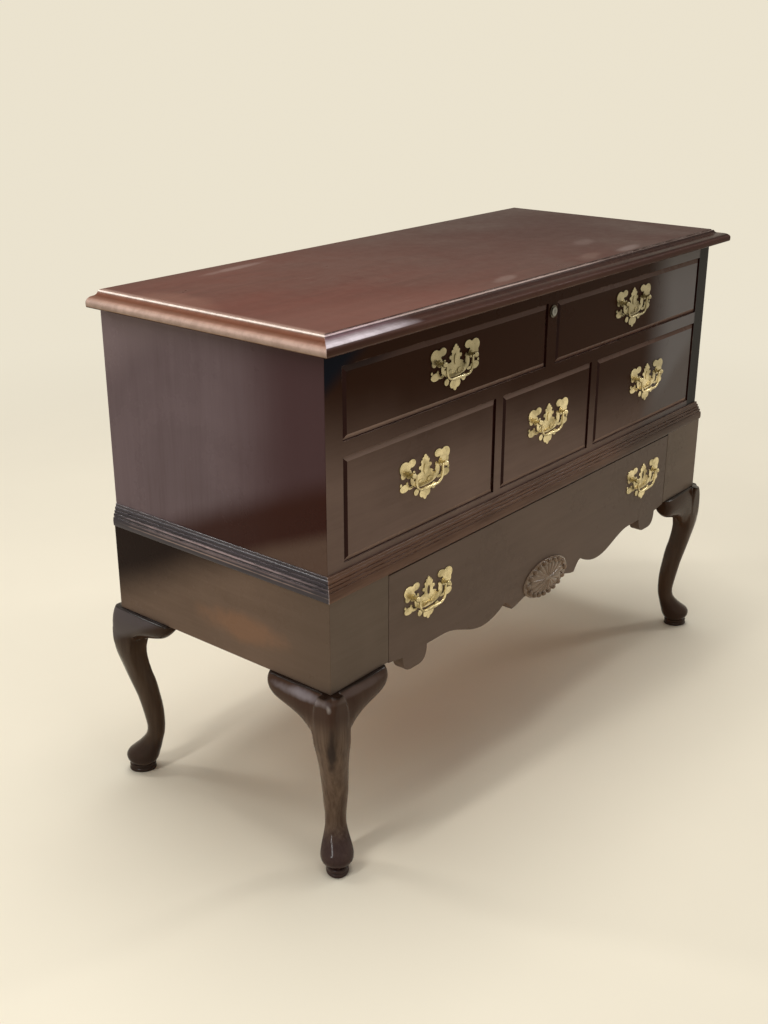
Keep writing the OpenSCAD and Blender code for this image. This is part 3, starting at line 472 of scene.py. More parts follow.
cabriole = {
    # height, outer and inner reach along the diagonal, half width, squareness
    "column": [
        (313, -3.0, -50, 25, 0.94), (306, 1.0, -50, 25, 0.94), (300, 6.8, -50, 25.5, 0.94),
        (290, 12.0, -50, 26, 0.94), (278, 15.6, -48, 26.5, 0.92), (268, 17.2, -45, 27, 0.88),
        (256, 17.6, -41, 27.5, 0.8), (245, 16.8, -38.5, 27.5, 0.73), (233, 14.8, -35.4, 27, 0.63),
        (222, 12.2, -34.6, 26, 0.55), (210, 8.3, -36, 24.4, 0.47), (200, 5.0, -37.6, 22.9, 0.4),
        (184, -0.1, -41, 21.2, 0.3), (171, -4.5, -45, 20.3, 0.22), (157, -9.5, -48, 19.6, 0.15),
        (142, -14.5, -50.4, 18.8, 0.08), (126, -18.6, -53, 18, 0), (110, -22, -54.9, 17, 0),
        (97, -24.4, -55.4, 15.9, 0), (84, -26.6, -55.4, 14.8, 0), (74, -26.2, -54.6, 14.6, 0),
        (66, -23.8, -53.4, 15.1, 0), (58, -18.2, -51.3, 16.9, 0), (50, -10.2, -49.2, 19.4, 0),
        (43, -1.4, -47.5, 21.8, 0), (36, 8.0, -45.3, 23.9, 0), (31, 11.0, -43.8, 24.7, 0),
        (27, 11.5, -42.8, 24.9, 0), (22, 10.2, -40.8, 24.2, 0), (18, 7.6, -38.6, 22, 0),
        (14.5, 4.6, -36, 19, 0), (12.6, 2.0, -33, 16, 0)],
    # distance from the corner, lowest edge, bulge beyond the face
    "frontWing": [
        (-14, 236, 8), (-12, 229, 11), (-6, 224, 12.8), (4, 221, 13.2), (14, 221, 13.2),
        (24, 224, 13.2), (33, 231, 13.3), (41, 240, 13.3), (50, 247.5, 13.4), (60, 253, 13.4),
        (72, 258, 13.3), (84, 261.5, 13), (95, 264.5, 12.5), (104, 267.5, 11.7), (110, 271, 10.6),
        (115, 275.5, 8.8), (118, 281, 6.2), (119.3, 286, 3.2)],
    "backWing": [
        (-14, 240, 8), (-12, 236, 11), (-6, 235, 13.2), (4, 236, 13.8), (14, 240, 13.9),
        (24, 248, 13.8), (33, 256.5, 13.6), (44, 263, 13.4), (56, 267.5, 13.2), (68, 271, 13),
        (80, 274, 12.8), (90, 277, 12.4), (98, 280, 11.8), (104, 284, 10.8), (109, 289, 9.2),
        (112.5, 294, 6.8), (114.5, 298, 3.5)],
    "wingTop": 309,
    "wingBack": 21,
    "widen": 1.0,          # added to each half width
    "regain": 0.6,         # skin put back after the smoothing
    "trim": 306,
    # height and size of the two ring pad
    "pad": [(0.0, 0.93), (0.5, 0.975), (1.6, 1.0), (3.9, 1.0), (5.0, 0.975), (5.6, 0.925),
            (6.1, 0.9), (6.7, 0.9), (7.2, 0.94), (8.2, 0.975), (10.8, 0.98), (12.0, 0.95),
            (12.8, 0.88), (13.6, 0.8)],
    "padHalf": (22.5, 17.5),
    "padMiddle": -14.0,
    "sideSet": {True: 6.2, False: 5.0},     # of the foot, at the front and at the back
    "core": (1, 51, 262, 312),              # square core under the corner: from, to, lowest, highest
    "around": 32,                           # points of a ring of the column
    "voxel": 1.7,
    "smoothing": 8,
}


def footShift(height, front):
    return cabriole["sideSet"][front] * min(1, max(0, (250 - height) / 120))


def halfWidth(height, half):
    return half + cabriole["widen"] * min(1, max(0, (height - 45) / 30))


def makeColumn(front):
    rings = [(z, (outer + inner) / 2, footShift(z, front), (outer - inner) / 2, halfWidth(z, half))
             for z, outer, inner, half, square in reversed(cabriole["column"])]
    around = cabriole["around"]
    column = stackRings(2, rings, around)
    openMesh(column)
    for z, outer, inner, half, square in cabriole["column"]:   # squares the upper rings
        if not square:
            continue
        middle = Vector(((outer + inner) / 2 * mm, footShift(z, front) * mm, z * mm))
        length = (outer - inner) / 2 * mm
        for step in range(1, around // 8 + 1):
            degrees = step * 360 / around
            turn = math.radians(degrees)
            share = 1 - square * (1 - 1 / (math.cos(turn) + math.sin(turn)))

            def inClass(vert):
                spot = vert.co - middle
                if abs(spot.z) > 0.0004:
                    return False
                across = halfWidth(z, half) * mm
                a = math.degrees(math.atan2(abs(spot.y) / across, abs(spot.x) / length))
                return abs(min(a, 90 - a) - degrees) < 2
            pick("verts", inClass)
            bpy.ops.transform.resize(value=(share, share, 1), center_override=middle)
    closeMesh()
    column.rotation_euler = (0, 0, math.radians(225))
    return place(column)


def makeWing(front):
    top, back = cabriole["wingTop"], cabriole["wingBack"]
    rings = [(u, (back - out) / 2, (top + low) / 2, (out + back) / 2, (top - low) / 2)
             for u, low, out in cabriole["frontWing" if front else "backWing"]]
    return stackRings(0, rings, 28)


def makeLeg(front):
    parts = [makeColumn(front), makeWing(front)]
    twin = copyMesh(parts[1])   # the same wing along the side
    twin.data.transform(Matrix(((0, 1, 0, 0), (1, 0, 0, 0), (0, 0, 1, 0), (0, 0, 0, 1))))
    parts.append(twin)
    if not front:   # the back legs have the wing of the side only
        bpy.data.objects.remove(parts.pop(1))
    near, far, lowest, highest = (size * mm for size in cabriole["core"])
    parts.append(addBox((near, near, lowest), (far, far, highest)))
    for part in parts:
        outwards(part)
    leg = joinAll(parts)
    applied(leg, "REMESH", mode="VOXEL", voxel_size=cabriole["voxel"] * mm, use_smooth_shade=True)
    applied(leg, "SMOOTH", factor=0.5, iterations=cabriole["smoothing"])
    applied(leg, "DISPLACE", strength=cabriole["regain"] * mm, mid_level=0)
    cutAt(leg, (0, 0, cabriole["trim"] * mm - 0.00005), (0, 0, 1))
    halfLong, halfWide = cabriole["padHalf"]
    rings = [(z, cabriole["padMiddle"], cabriole["sideSet"][front], halfLong * size, halfWide * size)
             for z, size in cabriole["pad"]]
    pad = stackRings(2, rings, 40)
    pad.rotation_euler = (0, 0, math.radians(225))
    place(pad)
    return joinAll([leg, pad])


def makeLegs():
    front = makeLeg(True)
    front.location = (baseCorner.x, baseCorner.y, 0)
    place(front)
    back = makeLeg(False)
    back.scale = (1, -1, 1)
    back.location = (baseCorner.x, caseBack, 0)
    place(back)
    outwards(back)
    for leg, name in ((front, "front_left"), (mirrored(front), "front_right"),
                      (back, "back_left"), (mirrored(back), "back_right")):
        finish(leg, "cabriole_" + name, "carcase", ["leg_" + name], "case_wood", smooth=50, weigh=False)


makeLegs()
print("legs made")


# Carved shell on the apron: a thin oval ground, petals from its middle, and a bead at each tip

carvedShell = {
    "lobes": 18,
    # share of the half size of the ground, height above the apron
    "ground": [(0.985, 0.0), (1.0, 0.6), (1.0, 2.2), (0.975, 3.0), (0.93, 3.2), (0.6, 3.0)],
    # along a petal: share of its length, half width at a half pitch of 1, height
    "petal": [(0.0, 0.05, 8.0), (0.1, 0.14, 8.5), (0.25, 0.31, 8.6), (0.45, 0.54, 8.2), (0.65, 0.77, 7.3),
              (0.8, 0.92, 6.6), (0.9, 0.93, 6.2), (0.97, 0.72, 5.6), (1.0, 0.4, 4.6)],
    "petalEnd": 0.79,     # share of the half size at which the petals end
    "petalWide": 0.98,    # share of the pitch there that a petal fills
    "beads": 0.85,        # share at which the beads lie
    # bead: height above the apron, radius
    "bead": [(1.5, 4.9), (3.4, 5.2), (5.4, 4.9), (7.0, 4.0), (8.1, 2.7), (8.7, 1.2)],
}


def evenAngles(halfX, halfZ, count):
    # angles at which points lie an equal way apart along an oval
    fine = [math.radians(i * 0.25) for i in range(1441)]
    spots = [(halfX * math.cos(a), halfZ * math.sin(a)) for a in fine]
    way = [0.0]
    for last, spot in zip(spots, spots[1:]):
        way.append(way[-1] + math.dist(last, spot))
    angles, i = [], 0
    for k in range(count):
        while way[i] < way[-1] * k / count:
            i += 1
        angles.append(fine[i])
    return angles


def makeShell():
    part = carvedShell
    low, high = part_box("shell_carving")
    middle = Vector((0, high.y, (low.z + high.z) / 2))
    halfX, halfZ = high.x / mm, (high.z - low.z) / 2 / mm
    parts = [stackRings(1, [(-height, 0, 0, halfX * share, halfZ * share)
                            for share, height in part["ground"]], 72)]
    petal = stackRings(0, [(way, -height / 2, 0, height / 2, wide)
                           for way, wide, height in part["petal"]], 20)
    bead = stackRings(1, [(-height, 0, 0, radius, radius) for height, radius in part["bead"]], 20)
    girth = math.pi * (3 * (halfX + halfZ) - math.sqrt((3 * halfX + halfZ) * (halfX + 3 * halfZ)))
    pitch = girth / part["lobes"]
    for a in evenAngles(halfX, halfZ, part["lobes"]):
        spot = Vector((halfX * math.cos(a), 0, halfZ * math.sin(a)))
        turn = math.atan2(spot.z, spot.x)
        end = spot.length * part["petalEnd"]
        twin = copyMesh(petal)
        twin.data.transform(Matrix.Rotation(-turn, 4, "Y") @ Matrix.Diagonal(
            (end, 1, pitch / 2 * part["petalEnd"] * part["petalWide"], 1)))
        knob = copyMesh(bead)
        knob.data.transform(Matrix.Translation(spot * part["beads"] * mm))
        parts += [twin, knob]
    for spare in (petal, bead):
        bpy.data.objects.remove(spare)
    shell = joinAll([outwards(one) for one in parts])
    shell.location = middle
    finish(shell, "carved_shell", "drawer", ["shell_carving"], "shell_wood", smooth=50, weigh=False)


makeShell()
print("shell made")


# Pulls: pierced back plates with softened rims, and seven bails

pulls = {
    "rim": 0.4,          # softened rim of the plates
    "wire": 1.9,         # radius of the bail at its arms
    "pivot": 1.3,
    "swell": 0.5,        # how much thicker the middle of the bail is
    "middleCuts": 10,
    "arm": 31.3,         # half distance between the arms
    "end": 41.4,         # half length over the pivots
    "drop": 26.0,
    "bend": 14.0,
    "turn": 2.6,
}
pivots = {joint["child"]: Vector(joint["pos_m"]) for joint in frame["joints"]
          if joint["child"].startswith("bail_")}


def makeBail():
    part = pulls
    arm, drop, bend, turn = (part[key] * mm for key in ("arm", "drop", "bend", "turn"))
    bpy.ops.mesh.primitive_circle_add(vertices=14, radius=part["wire"] * mm, fill_type="NGON",
                                      location=(-part["end"] * mm, 0, 0), rotation=(0, math.pi / 2, 0))
    bail = place(bpy.context.object)
    openMesh(bail)

    def push(x, z, cuts=1):
        for i in range(cuts):
            bpy.ops.mesh.extrude_region_move(
                TRANSFORM_OT_translate={"value": (x / cuts, 0, z / cuts)})

    def swing(x, z, degrees, steps):
        bpy.ops.mesh.spin(steps=steps, angle=-math.radians(degrees), center=(x, 0, z), axis=(0, 1, 0))
    push(part["end"] * mm - arm - turn, 0, 2)
    swing(-arm - turn, -turn, 90, 5)
    push(0, -(drop - bend - turn), 2)
    swing(-arm + bend, -(drop - bend), -90, 8)
    flat, cuts = arm - bend, part["middleCuts"]
    push(2 * flat, 0, cuts)
    swing(arm - bend, -(drop - bend), -90, 8)
    push(0, drop - bend - turn, 2)
    swing(arm + turn, -turn, 90, 5)
    push(part["end"] * mm - arm - turn, 0, 2)
    for side in (-1, 1):   # thinner pivots
        pick("verts", lambda vert: vert.co.x * side > arm + turn - 0.0002)
        share = part["pivot"] / part["wire"]
        bpy.ops.transform.resize(value=(1, share, share), center_override=(0, 0, 0))
    for i in range(cuts + 1):   # swell of the middle
        x = -flat + 2 * flat * i / cuts
        share = 1 + part["swell"] * math.cos(math.pi / 2 * x / (flat * 1.15)) ** 1.5
        pick("verts", lambda vert: abs(vert.co.x - x) < 0.0002 and vert.co.z < -drop + 0.004)
        bpy.ops.transform.resize(value=(1, share, share), center_override=(0, 0, -drop))
    capEnds(bail)
    closeMesh()
    return outwards(bail)


backPlate = {
    # middle and half sizes of the ovals of the right half; those of the middle are whole
    "ovals": [(31, 28.6, 8.6, 6.2), (39.5, 26, 7, 6.2), (48, 24.5, 11.2, 9.8), (50.5, 14.5, 6, 5.6),
              (38.1, 14, 6.2, 7.2), (29, 3.5, 5.6, 9.5), (26.5, 13, 3, 3.2), (12.2, 16.6, 3, 3),
              (7.6, 24.6, 2.7, 2.7), (4.3, 28.6, 2.5, 2.5), (5.2, -24.2, 7.6, 6.6),
              (20.5, -18.6, 5.4, 5.2), (48, -5.6, 10.6, 6), (56.3, 1.2, 2.3, 2.5),
              (42.2, 0.6, 2.5, 2.4), (34, -8, 6, 2.4)],
    "middle": [(0, 14, 10.6, 15), (0, 31.4, 3.4, 3.4), (0, 5.5, 19, 5), (0, -29, 4.4, 5.8)],
    "bar": (0, -4, 29.5, 9.5),
    "holes": [(11.3, -5.8, 7, 4.3), (25, 1, 1.7, 1.7), (38.1, 13, 2.9, 2.9)],
    "slot": (0, 12.5, 3.5, 7.6),
    "postUp": 13.0,       # the posts above the middle of the plate
}


def makePlate(thick):
    part, deep, rim = backPlate, thick / mm, pulls["rim"]

    def disc(u, v, wide, tall):
        # an oval with a softened front rim
        return stackRings(1, [(0, u, v, wide, tall), (-(deep - rim), u, v, wide, tall),
                              (-(deep - rim * 0.3), u, v, wide - rim * 0.3, tall - rim * 0.3),
                              (-deep, u, v, wide - rim, tall - rim)], 24)

    def hole(u, v, wide, tall):
        # a plug for a hole, wider at the front
        return stackRings(1, [(1, u, v, wide, tall), (-(deep - rim), u, v, wide, tall),
                              (-(deep + 0.01), u, v, wide + rim, tall + rim),
                              (-(deep + 1), u, v, wide + rim, tall + rim)], 24)
    plate = disc(*part["bar"])
    lobes = [disc(*oval) for oval in part["middle"]]
    holes = [hole(*part["slot"])]
    for side in (-1, 1):
        lobes += [disc(side * u, v, wide, tall) for u, v, wide, tall in part["ovals"]]
        holes += [hole(side * u, v, wide, tall) for u, v, wide, tall in part["holes"]]
    lobes = joinAll(lobes)
    applied(plate, "BOOLEAN", operation="UNION", solver="EXACT", use_self=True, object=lobes)
    bpy.data.objects.remove(lobes)
    carve(plate, joinAll(holes))
    return outwards(plate)


def makePulls():
    first = makeBail()
    for body, pivot in pivots.items():
        twin = copyMesh(first)
        twin.data.transform(Matrix.Translation(pivot))
        finish(twin, "handle_" + body[5:], body, [body], "pull_brass", smooth=60, weigh=False)
    bpy.data.objects.remove(first)
    for board, body in (("case", "carcase"), ("drawer", "drawer")):
        node = board + "_pull_plates"
        low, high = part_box(node)
        plate = makePlate(high.y - low.y)
        twins = []
        for bail, pivot in pivots.items():
            if ("drawer" in bail) == (body == "drawer"):
                middle = (pivot.x, high.y, pivot.z - backPlate["postUp"] * mm)
                twins.append(copyMesh(plate))
                twins[-1].data.transform(Matrix.Translation(middle))
        bpy.data.objects.remove(plate)
        finish(joinAll(twins), board + "_back_plates", body, [node], "pull_brass")


makePulls()
print("pulls made")


# Finishes

def add(tree, kind, settings=None, **values):
    # one node, with its values and links; a key such as i1 is a socket number
    node = tree.nodes.new("ShaderNode" + kind)
    for key, value in (settings or {}).items():
        setattr(node, key, value)
    for key, value in values.items():
        socket = node.inputs[int(key[1:])] if key[0] == "i" and key[1:].isdigit() \
            else node.inputs[key.replace("_", " ")]
        fill(tree, socket, value)
    return node


def newGroup(name, inputs, outputs):
    tree = bpy.data.node_groups.new(name, "ShaderNodeTree")
    kinds = {"f": "NodeSocketFloat", "c": "NodeSocketColor", "v": "NodeSocketVector"}
    for label, kind, value in inputs:
        socket = tree.interface.new_socket(label, in_out="INPUT", socket_type=kinds[kind])
        if value is not None:
            socket.default_value = colour4(value) if kind == "c" else value
    for label, kind in outputs:
        tree.interface.new_socket(label, in_out="OUTPUT", socket_type=kinds[kind])
    return tree, tree.nodes.new("NodeGroupInput").outputs, tree.nodes.new("NodeGroupOutput").inputs


def calc(tree, operation, a, b=0.0):
    return add(tree, "Math", {"operation": operation}, i0=a, i1=b).outputs[0]


def times(tree, a, b):
    return calc(tree, "MULTIPLY", a, b)


def plus(tree, a, b):
    return calc(tree, "ADD", a, b)


def minus(tree, a, b):
    return calc(tree, "SUBTRACT", a, b)


def ranged(tree, value, low, high, toLow=0.0, toHigh=1.0, smooth=False):
    node = add(tree, "MapRange", {"interpolation_type": "SMOOTHSTEP" if smooth else "LINEAR"},
               Value=value, From_Min=low, From_Max=high, To_Min=toLow, To_Max=toHigh)
    return node.outputs[0]


def colour4(rgb):
    return (rgb[0], rgb[1], rgb[2], 1.0)


def fill(tree, socket, value):
    # links a socket to the socket of another node, or sets it
    if isinstance(value, bpy.types.NodeSocket):
        tree.links.new(value, socket)
    else:
        socket.default_value = colour4(value) if socket.type == "RGBA" else value


def mixed(tree, factor, a, b):
    node = add(tree, "Mix", {"data_type": "RGBA", "clamp_result": False}, i0=factor)
    fill(tree, node.inputs[6], a)
    fill(tree, node.inputs[7], b)
    return node.outputs[2]


def tinted(tree, tone, mask, amount, colour):
    # lays a colour over a tone by a share of a mask
    return mixed(tree, times(tree, mask, amount), tone, colour)


def noise(tree, vector, scale, detail=2.0, rough=0.5, distort=0.0):
    return add(tree, "TexNoise", Vector=vector, Scale=scale, Detail=detail, Roughness=rough,
               Distortion=distort).outputs[0]


def makeGrain():
    # stretched figure and fine pores of stained timber
    tree, ins, outs = newGroup("timberGrain", [
        ("Vector", "v", None), ("Dark", "c", (0.03, 0.01, 0.008)), ("Light", "c", (0.09, 0.03, 0.02)),
        ("Figure", "f", 0.6), ("Pores", "f", 0.4)], [("Color", "c"), ("Height", "f")])
    bands = noise(tree, ins["Vector"], 3.2, 6, 0.62, 0.5)
    streaks = noise(tree, ins["Vector"], 16, 4, 0.6, 0.2)
    pores = noise(tree, ins["Vector"], 90, 2, 0.5)
    figure = plus(tree, times(tree, bands, 0.65), times(tree, streaks, 0.35))
    figure = ranged(tree, figure, 0.34, 0.66, smooth=True)
    figure = times(tree, figure, ins["Figure"])
    base = mixed(tree, figure, ins["Dark"], ins["Light"])
    pits = times(tree, ranged(tree, pores, 0.56, 0.72, smooth=True), ins["Pores"])
    tree.links.new(mixed(tree, pits, base, (0.012, 0.005, 0.004)), outs["Color"])
    tree.links.new(minus(tree, times(tree, streaks, 0.4), pits), outs["Height"])
    return tree


def makeClouds():
    # large soft patches, for a finish that has faded and dulled unevenly
    tree, ins, outs = newGroup("softClouds", [("Vector", "v", None), ("Scale", "f", 3.0)],
                               [("Mask", "f"), ("Fine", "f")])
    soft = noise(tree, ins["Vector"], ins["Scale"], 3, 0.55, 0.6)
    tree.links.new(ranged(tree, soft, 0.32, 0.68, smooth=True), outs["Mask"])
    fine = noise(tree, ins["Vector"], times(tree, ins["Scale"], 14), 5, 0.65)
    tree.links.new(ranged(tree, fine, 0.3, 0.7), outs["Fine"])
    return tree


def makeEdgeWear():
    # mask of rubbed arrises: where the rounded normal leaves the true one
    tree, ins, outs = newGroup("edgeWear", [("Vector", "v", None), ("Radius", "f", 0.0015),
                                            ("Breakup", "f", 40.0), ("Reach", "f", 0.5)],
                               [("Mask", "f")])
    bevel = add(tree, "Bevel", {"samples": 6}, Radius=ins["Radius"])
    flat = add(tree, "NewGeometry").outputs["Normal"]
    dot = add(tree, "VectorMath", {"operation": "DOT_PRODUCT"}, i0=bevel.outputs[0], i1=flat)
    edge = ranged(tree, minus(tree, 1.0, dot.outputs["Value"]), 0.015, 0.16, smooth=True)
    patch = noise(tree, ins["Vector"], ins["Breakup"], 4, 0.65)
    low = minus(tree, 0.72, times(tree, ins["Reach"], 0.42))
    patch = ranged(tree, patch, low, plus(tree, low, 0.16), smooth=True)
    tree.links.new(times(tree, edge, patch), outs["Mask"])
    return tree


def makeScuffs():
    # faint rubs and dust on a flat top
    tree, ins, outs = newGroup("scuffs", [("Vector", "v", None), ("Density", "f", 0.5)],
                               [("Rubs", "f"), ("Dust", "f")])
    marks = None
    for turn, stretch, size in ((0.35, (3.0, 40.0, 1.0), 2.6), (-0.9, (4.0, 55.0, 1.0), 2.0),
                                (1.3, (3.5, 45.0, 1.0), 3.1)):
        line = add(tree, "Mapping", Vector=ins["Vector"], Rotation=(0, 0, turn), Scale=stretch).outputs[0]
        one = ranged(tree, noise(tree, line, size, 2, 0.5), 0.69, 0.78, smooth=True)
        marks = one if marks is None else calc(tree, "MAXIMUM", marks, one)
    gate = ranged(tree, noise(tree, ins["Vector"], 5.0, 2, 0.5), 0.5, 0.7, smooth=True)
    rubs = times(tree, times(tree, marks, gate), ins["Density"])
    dust = noise(tree, ins["Vector"], 26.0, 6, 0.75)
    cloud = noise(tree, ins["Vector"], 2.2, 3, 0.6, 0.4)
    dust = times(tree, ranged(tree, dust, 0.42, 0.75, smooth=True),
                 ranged(tree, cloud, 0.5, 0.72, smooth=True))
    tree.links.new(rubs, outs["Rubs"])
    tree.links.new(times(tree, dust, ins["Density"]), outs["Dust"])
    return tree


def makeFade():
    # mask that grows softly along a direction, with a wavering front
    tree, ins, outs = newGroup("softFade", [("Vector", "v", None), ("Direction", "v", (1, 0, 0)),
                                            ("Start", "f", 0.0), ("End", "f", 1.0), ("Waver", "f", 0.1)],
                               [("Mask", "f")])
    way = add(tree, "VectorMath", {"operation": "DOT_PRODUCT"}, i0=ins["Vector"], i1=ins["Direction"])
    sway = minus(tree, noise(tree, ins["Vector"], 4.5, 3, 0.55, 0.4), 0.5)
    way = plus(tree, way.outputs["Value"], times(tree, sway, ins["Waver"]))
    tree.links.new(ranged(tree, way, ins["Start"], ins["End"], smooth=True), outs["Mask"])
    return tree


def makeMark():
    # one soft worn or dusty spot at a place
    tree, ins, outs = newGroup("softMark", [("Vector", "v", None), ("Place", "v", (0, 0, 0)),
                                            ("Turn", "f", 0.0), ("Size", "v", (1, 1, 1))], [("Mask", "f")])
    turn = add(tree, "CombineXYZ", i2=ins["Turn"]).outputs[0]
    local = add(tree, "Mapping", {"vector_type": "TEXTURE"}, Vector=ins["Vector"], Location=ins["Place"],
                Rotation=turn, Scale=ins["Size"]).outputs[0]
    reach = add(tree, "VectorMath", {"operation": "LENGTH"}, i0=local).outputs["Value"]
    ragged = times(tree, minus(tree, noise(tree, ins["Vector"], 30, 3, 0.6), 0.5), 0.8)
    tree.links.new(ranged(tree, plus(tree, reach, ragged), 1.05, 0.35, smooth=True), outs["Mask"])
    return tree


def makeLidLightAndWearBands():
    # colour of the moulded edge by its height: painted highlights, partly wear, on its upper edges, brightest near
    # the front corner, and painted shade in the hollow
    tree, ins, outs = newGroup("lidBands", [("Vector", "v", None), ("Low", "f", 0.0), ("Height", "f", 1.0),
                                            ("Side", "f", 0.0)], [("Color", "c")])
    spot = add(tree, "SeparateXYZ", i0=ins["Vector"]).outputs
    share = calc(tree, "DIVIDE", minus(tree, spot[2], ins["Low"]), ins["Height"])
    tones = []
    for name in ("nearFront", "midFront", "farFront", "side"):
        ramp = add(tree, "ValToRGB", Fac=share)
        stops = lidBands[name]
        while len(ramp.color_ramp.elements) < len(stops):
            ramp.color_ramp.elements.new(1.0)
        for element, (place, colour) in zip(ramp.color_ramp.elements, stops):
            element.position = place
            element.color = colour4(colour)
        tones.append(ramp.outputs[0])
    sway = times(tree, minus(tree, noise(tree, ins["Vector"], 9, 4, 0.6), 0.5), 0.2)
    way = plus(tree, spot[0], sway)
    tone = mixed(tree, ranged(tree, way, *lidBands["nearFade"], smooth=True), tones[0], tones[1])
    tone = mixed(tree, ranged(tree, way, *lidBands["farFade"], smooth=True), tone, tones[2])
    tone = mixed(tree, ins["Side"], tone, tones[3])
    rubbed = ranged(tree, noise(tree, ins["Vector"], 55, 5, 0.7), 0.38, 0.62, smooth=True)
    tone = tinted(tree, tone, rubbed, 0.4, mixed(tree, 0.5, tone, (0.07, 0.028, 0.018)))
    tree.links.new(tone, outs["Color"])
    return tree


def makeAgedBrass():
    # lacquered brass: warm and cool patches, dull spots and a cast skin
    tree, ins, outs = newGroup("agedBrass", [("Vector", "v", None), ("Bright", "c", (0.72, 0.56, 0.25)),
                                             ("Dull", "c", (0.36, 0.26, 0.1))],
                               [("Color", "c"), ("Roughness", "f"), ("Height", "f")])
    patch = ranged(tree, noise(tree, ins["Vector"], 45, 4, 0.6), 0.35, 0.7, smooth=True)
    spots = ranged(tree, noise(tree, ins["Vector"], 420, 3, 0.6), 0.58, 0.72, smooth=True)
    colour = mixed(tree, patch, ins["Bright"], ins["Dull"])
    tree.links.new(tinted(tree, colour, spots, 0.5, (0.16, 0.11, 0.05)), outs["Color"])
    tree.links.new(ranged(tree, plus(tree, times(tree, patch, 0.5), spots), 0, 1.4, 0.2, 0.5),
                   outs["Roughness"])
    tree.links.new(noise(tree, ins["Vector"], 900, 2, 0.5), outs["Height"])
    return tree


# painted highlights, painted shade in the hollow and pale wear along the moulded edge of the lid, by height: on
# the side, and near, in the middle and far along the front, where the painted highlight dies away
lidBands = {
    "nearFade": (-0.5, -0.36),      # stretches of the front edge over which the bands change
    "farFade": (0.0, 0.2),
    # share of the lid's height, colour
    "side": [(0.0, (0.03, 0.012, 0.008)), (0.06, (0.06, 0.03, 0.02)), (0.11, (0.4, 0.27, 0.19)),
        (0.2, (0.46, 0.335, 0.27)), (0.4, (0.67, 0.475, 0.39)), (0.5, (0.56, 0.38, 0.3)),
        (0.58, (0.44, 0.27, 0.2)), (0.64, (0.23, 0.115, 0.075)), (0.69, (0.13, 0.045, 0.022)),
        (0.82, (0.25, 0.11, 0.07)), (0.87, (0.46, 0.29, 0.22)), (0.91, (0.95, 0.82, 0.72)),
        (0.955, (0.95, 0.8, 0.7)), (0.98, (0.45, 0.31, 0.25)), (1.0, (0.4, 0.26, 0.2))],
    "nearFront": [(0.0, (0.012, 0.005, 0.004)), (0.05, (0.03, 0.012, 0.01)), (0.1, (0.16, 0.11, 0.088)),
        (0.17, (0.085, 0.045, 0.033)), (0.45, (0.05, 0.024, 0.018)), (0.53, (0.09, 0.06, 0.056)),
        (0.565, (0.7, 0.62, 0.64)), (0.65, (0.62, 0.55, 0.58)), (0.7, (0.3, 0.25, 0.26)),
        (0.79, (0.2, 0.12, 0.135)), (0.87, (0.22, 0.14, 0.155)), (0.91, (0.6, 0.48, 0.49)),
        (0.955, (0.46, 0.33, 0.33)), (0.985, (0.05, 0.02, 0.018)), (1.0, (0.05, 0.02, 0.018))],
    "midFront": [(0.0, (0.012, 0.005, 0.004)), (0.05, (0.03, 0.012, 0.01)), (0.1, (0.16, 0.105, 0.08)),
        (0.17, (0.105, 0.054, 0.04)), (0.45, (0.085, 0.042, 0.032)), (0.56, (0.05, 0.024, 0.019)),
        (0.6, (0.03, 0.012, 0.009)), (0.72, (0.024, 0.009, 0.007)), (0.8, (0.045, 0.026, 0.022)),
        (0.87, (0.12, 0.078, 0.066)), (0.91, (0.45, 0.35, 0.31)), (0.955, (0.3, 0.22, 0.19)),
        (0.985, (0.03, 0.011, 0.008)), (1.0, (0.03, 0.011, 0.008))],
    "farFront": [(0.0, (0.012, 0.005, 0.004)), (0.05, (0.03, 0.012, 0.01)), (0.1, (0.08, 0.05, 0.04)),
        (0.17, (0.075, 0.038, 0.03)), (0.46, (0.07, 0.035, 0.028)), (0.55, (0.016, 0.006, 0.005)),
        (0.7, (0.014, 0.005, 0.004)), (0.8, (0.022, 0.01, 0.008)), (0.88, (0.035, 0.021, 0.018)),
        (0.93, (0.075, 0.05, 0.042)), (0.96, (0.06, 0.04, 0.033)), (1.0, (0.04, 0.022, 0.017))],
}
grainGroup, cloudGroup, wearGroup = makeGrain(), makeClouds(), makeEdgeWear()
scuffGroup, brassGroup, fadeGroup = makeScuffs(), makeAgedBrass(), makeFade()
markGroup, lidLightBandGroup = makeMark(), makeLidLightAndWearBands()


def use(tree, group, **values):
    node = add(tree, "Group", {"node_tree": group})
    for key, value in values.items():
        fill(tree, node.inputs[key], value)
    return node.outputs


def newFinish(name):
    material = bpy.data.materials.new(name)
    material.use_nodes = True
    tree = material.node_tree
    shader = tree.nodes["Principled BSDF"]
    return material, tree, shader, add(tree, "TexCoord").outputs["Object"]


def coated(material, tone, rough, bump):
    # gives a finish its colour, roughness and bump
    tree = material.node_tree
    shader = tree.nodes["Principled BSDF"]
    for name, output in (("Base Color", tone), ("Roughness", rough), ("Normal", bump.outputs[0])):
        tree.links.new(output, shader.inputs[name])
    return material


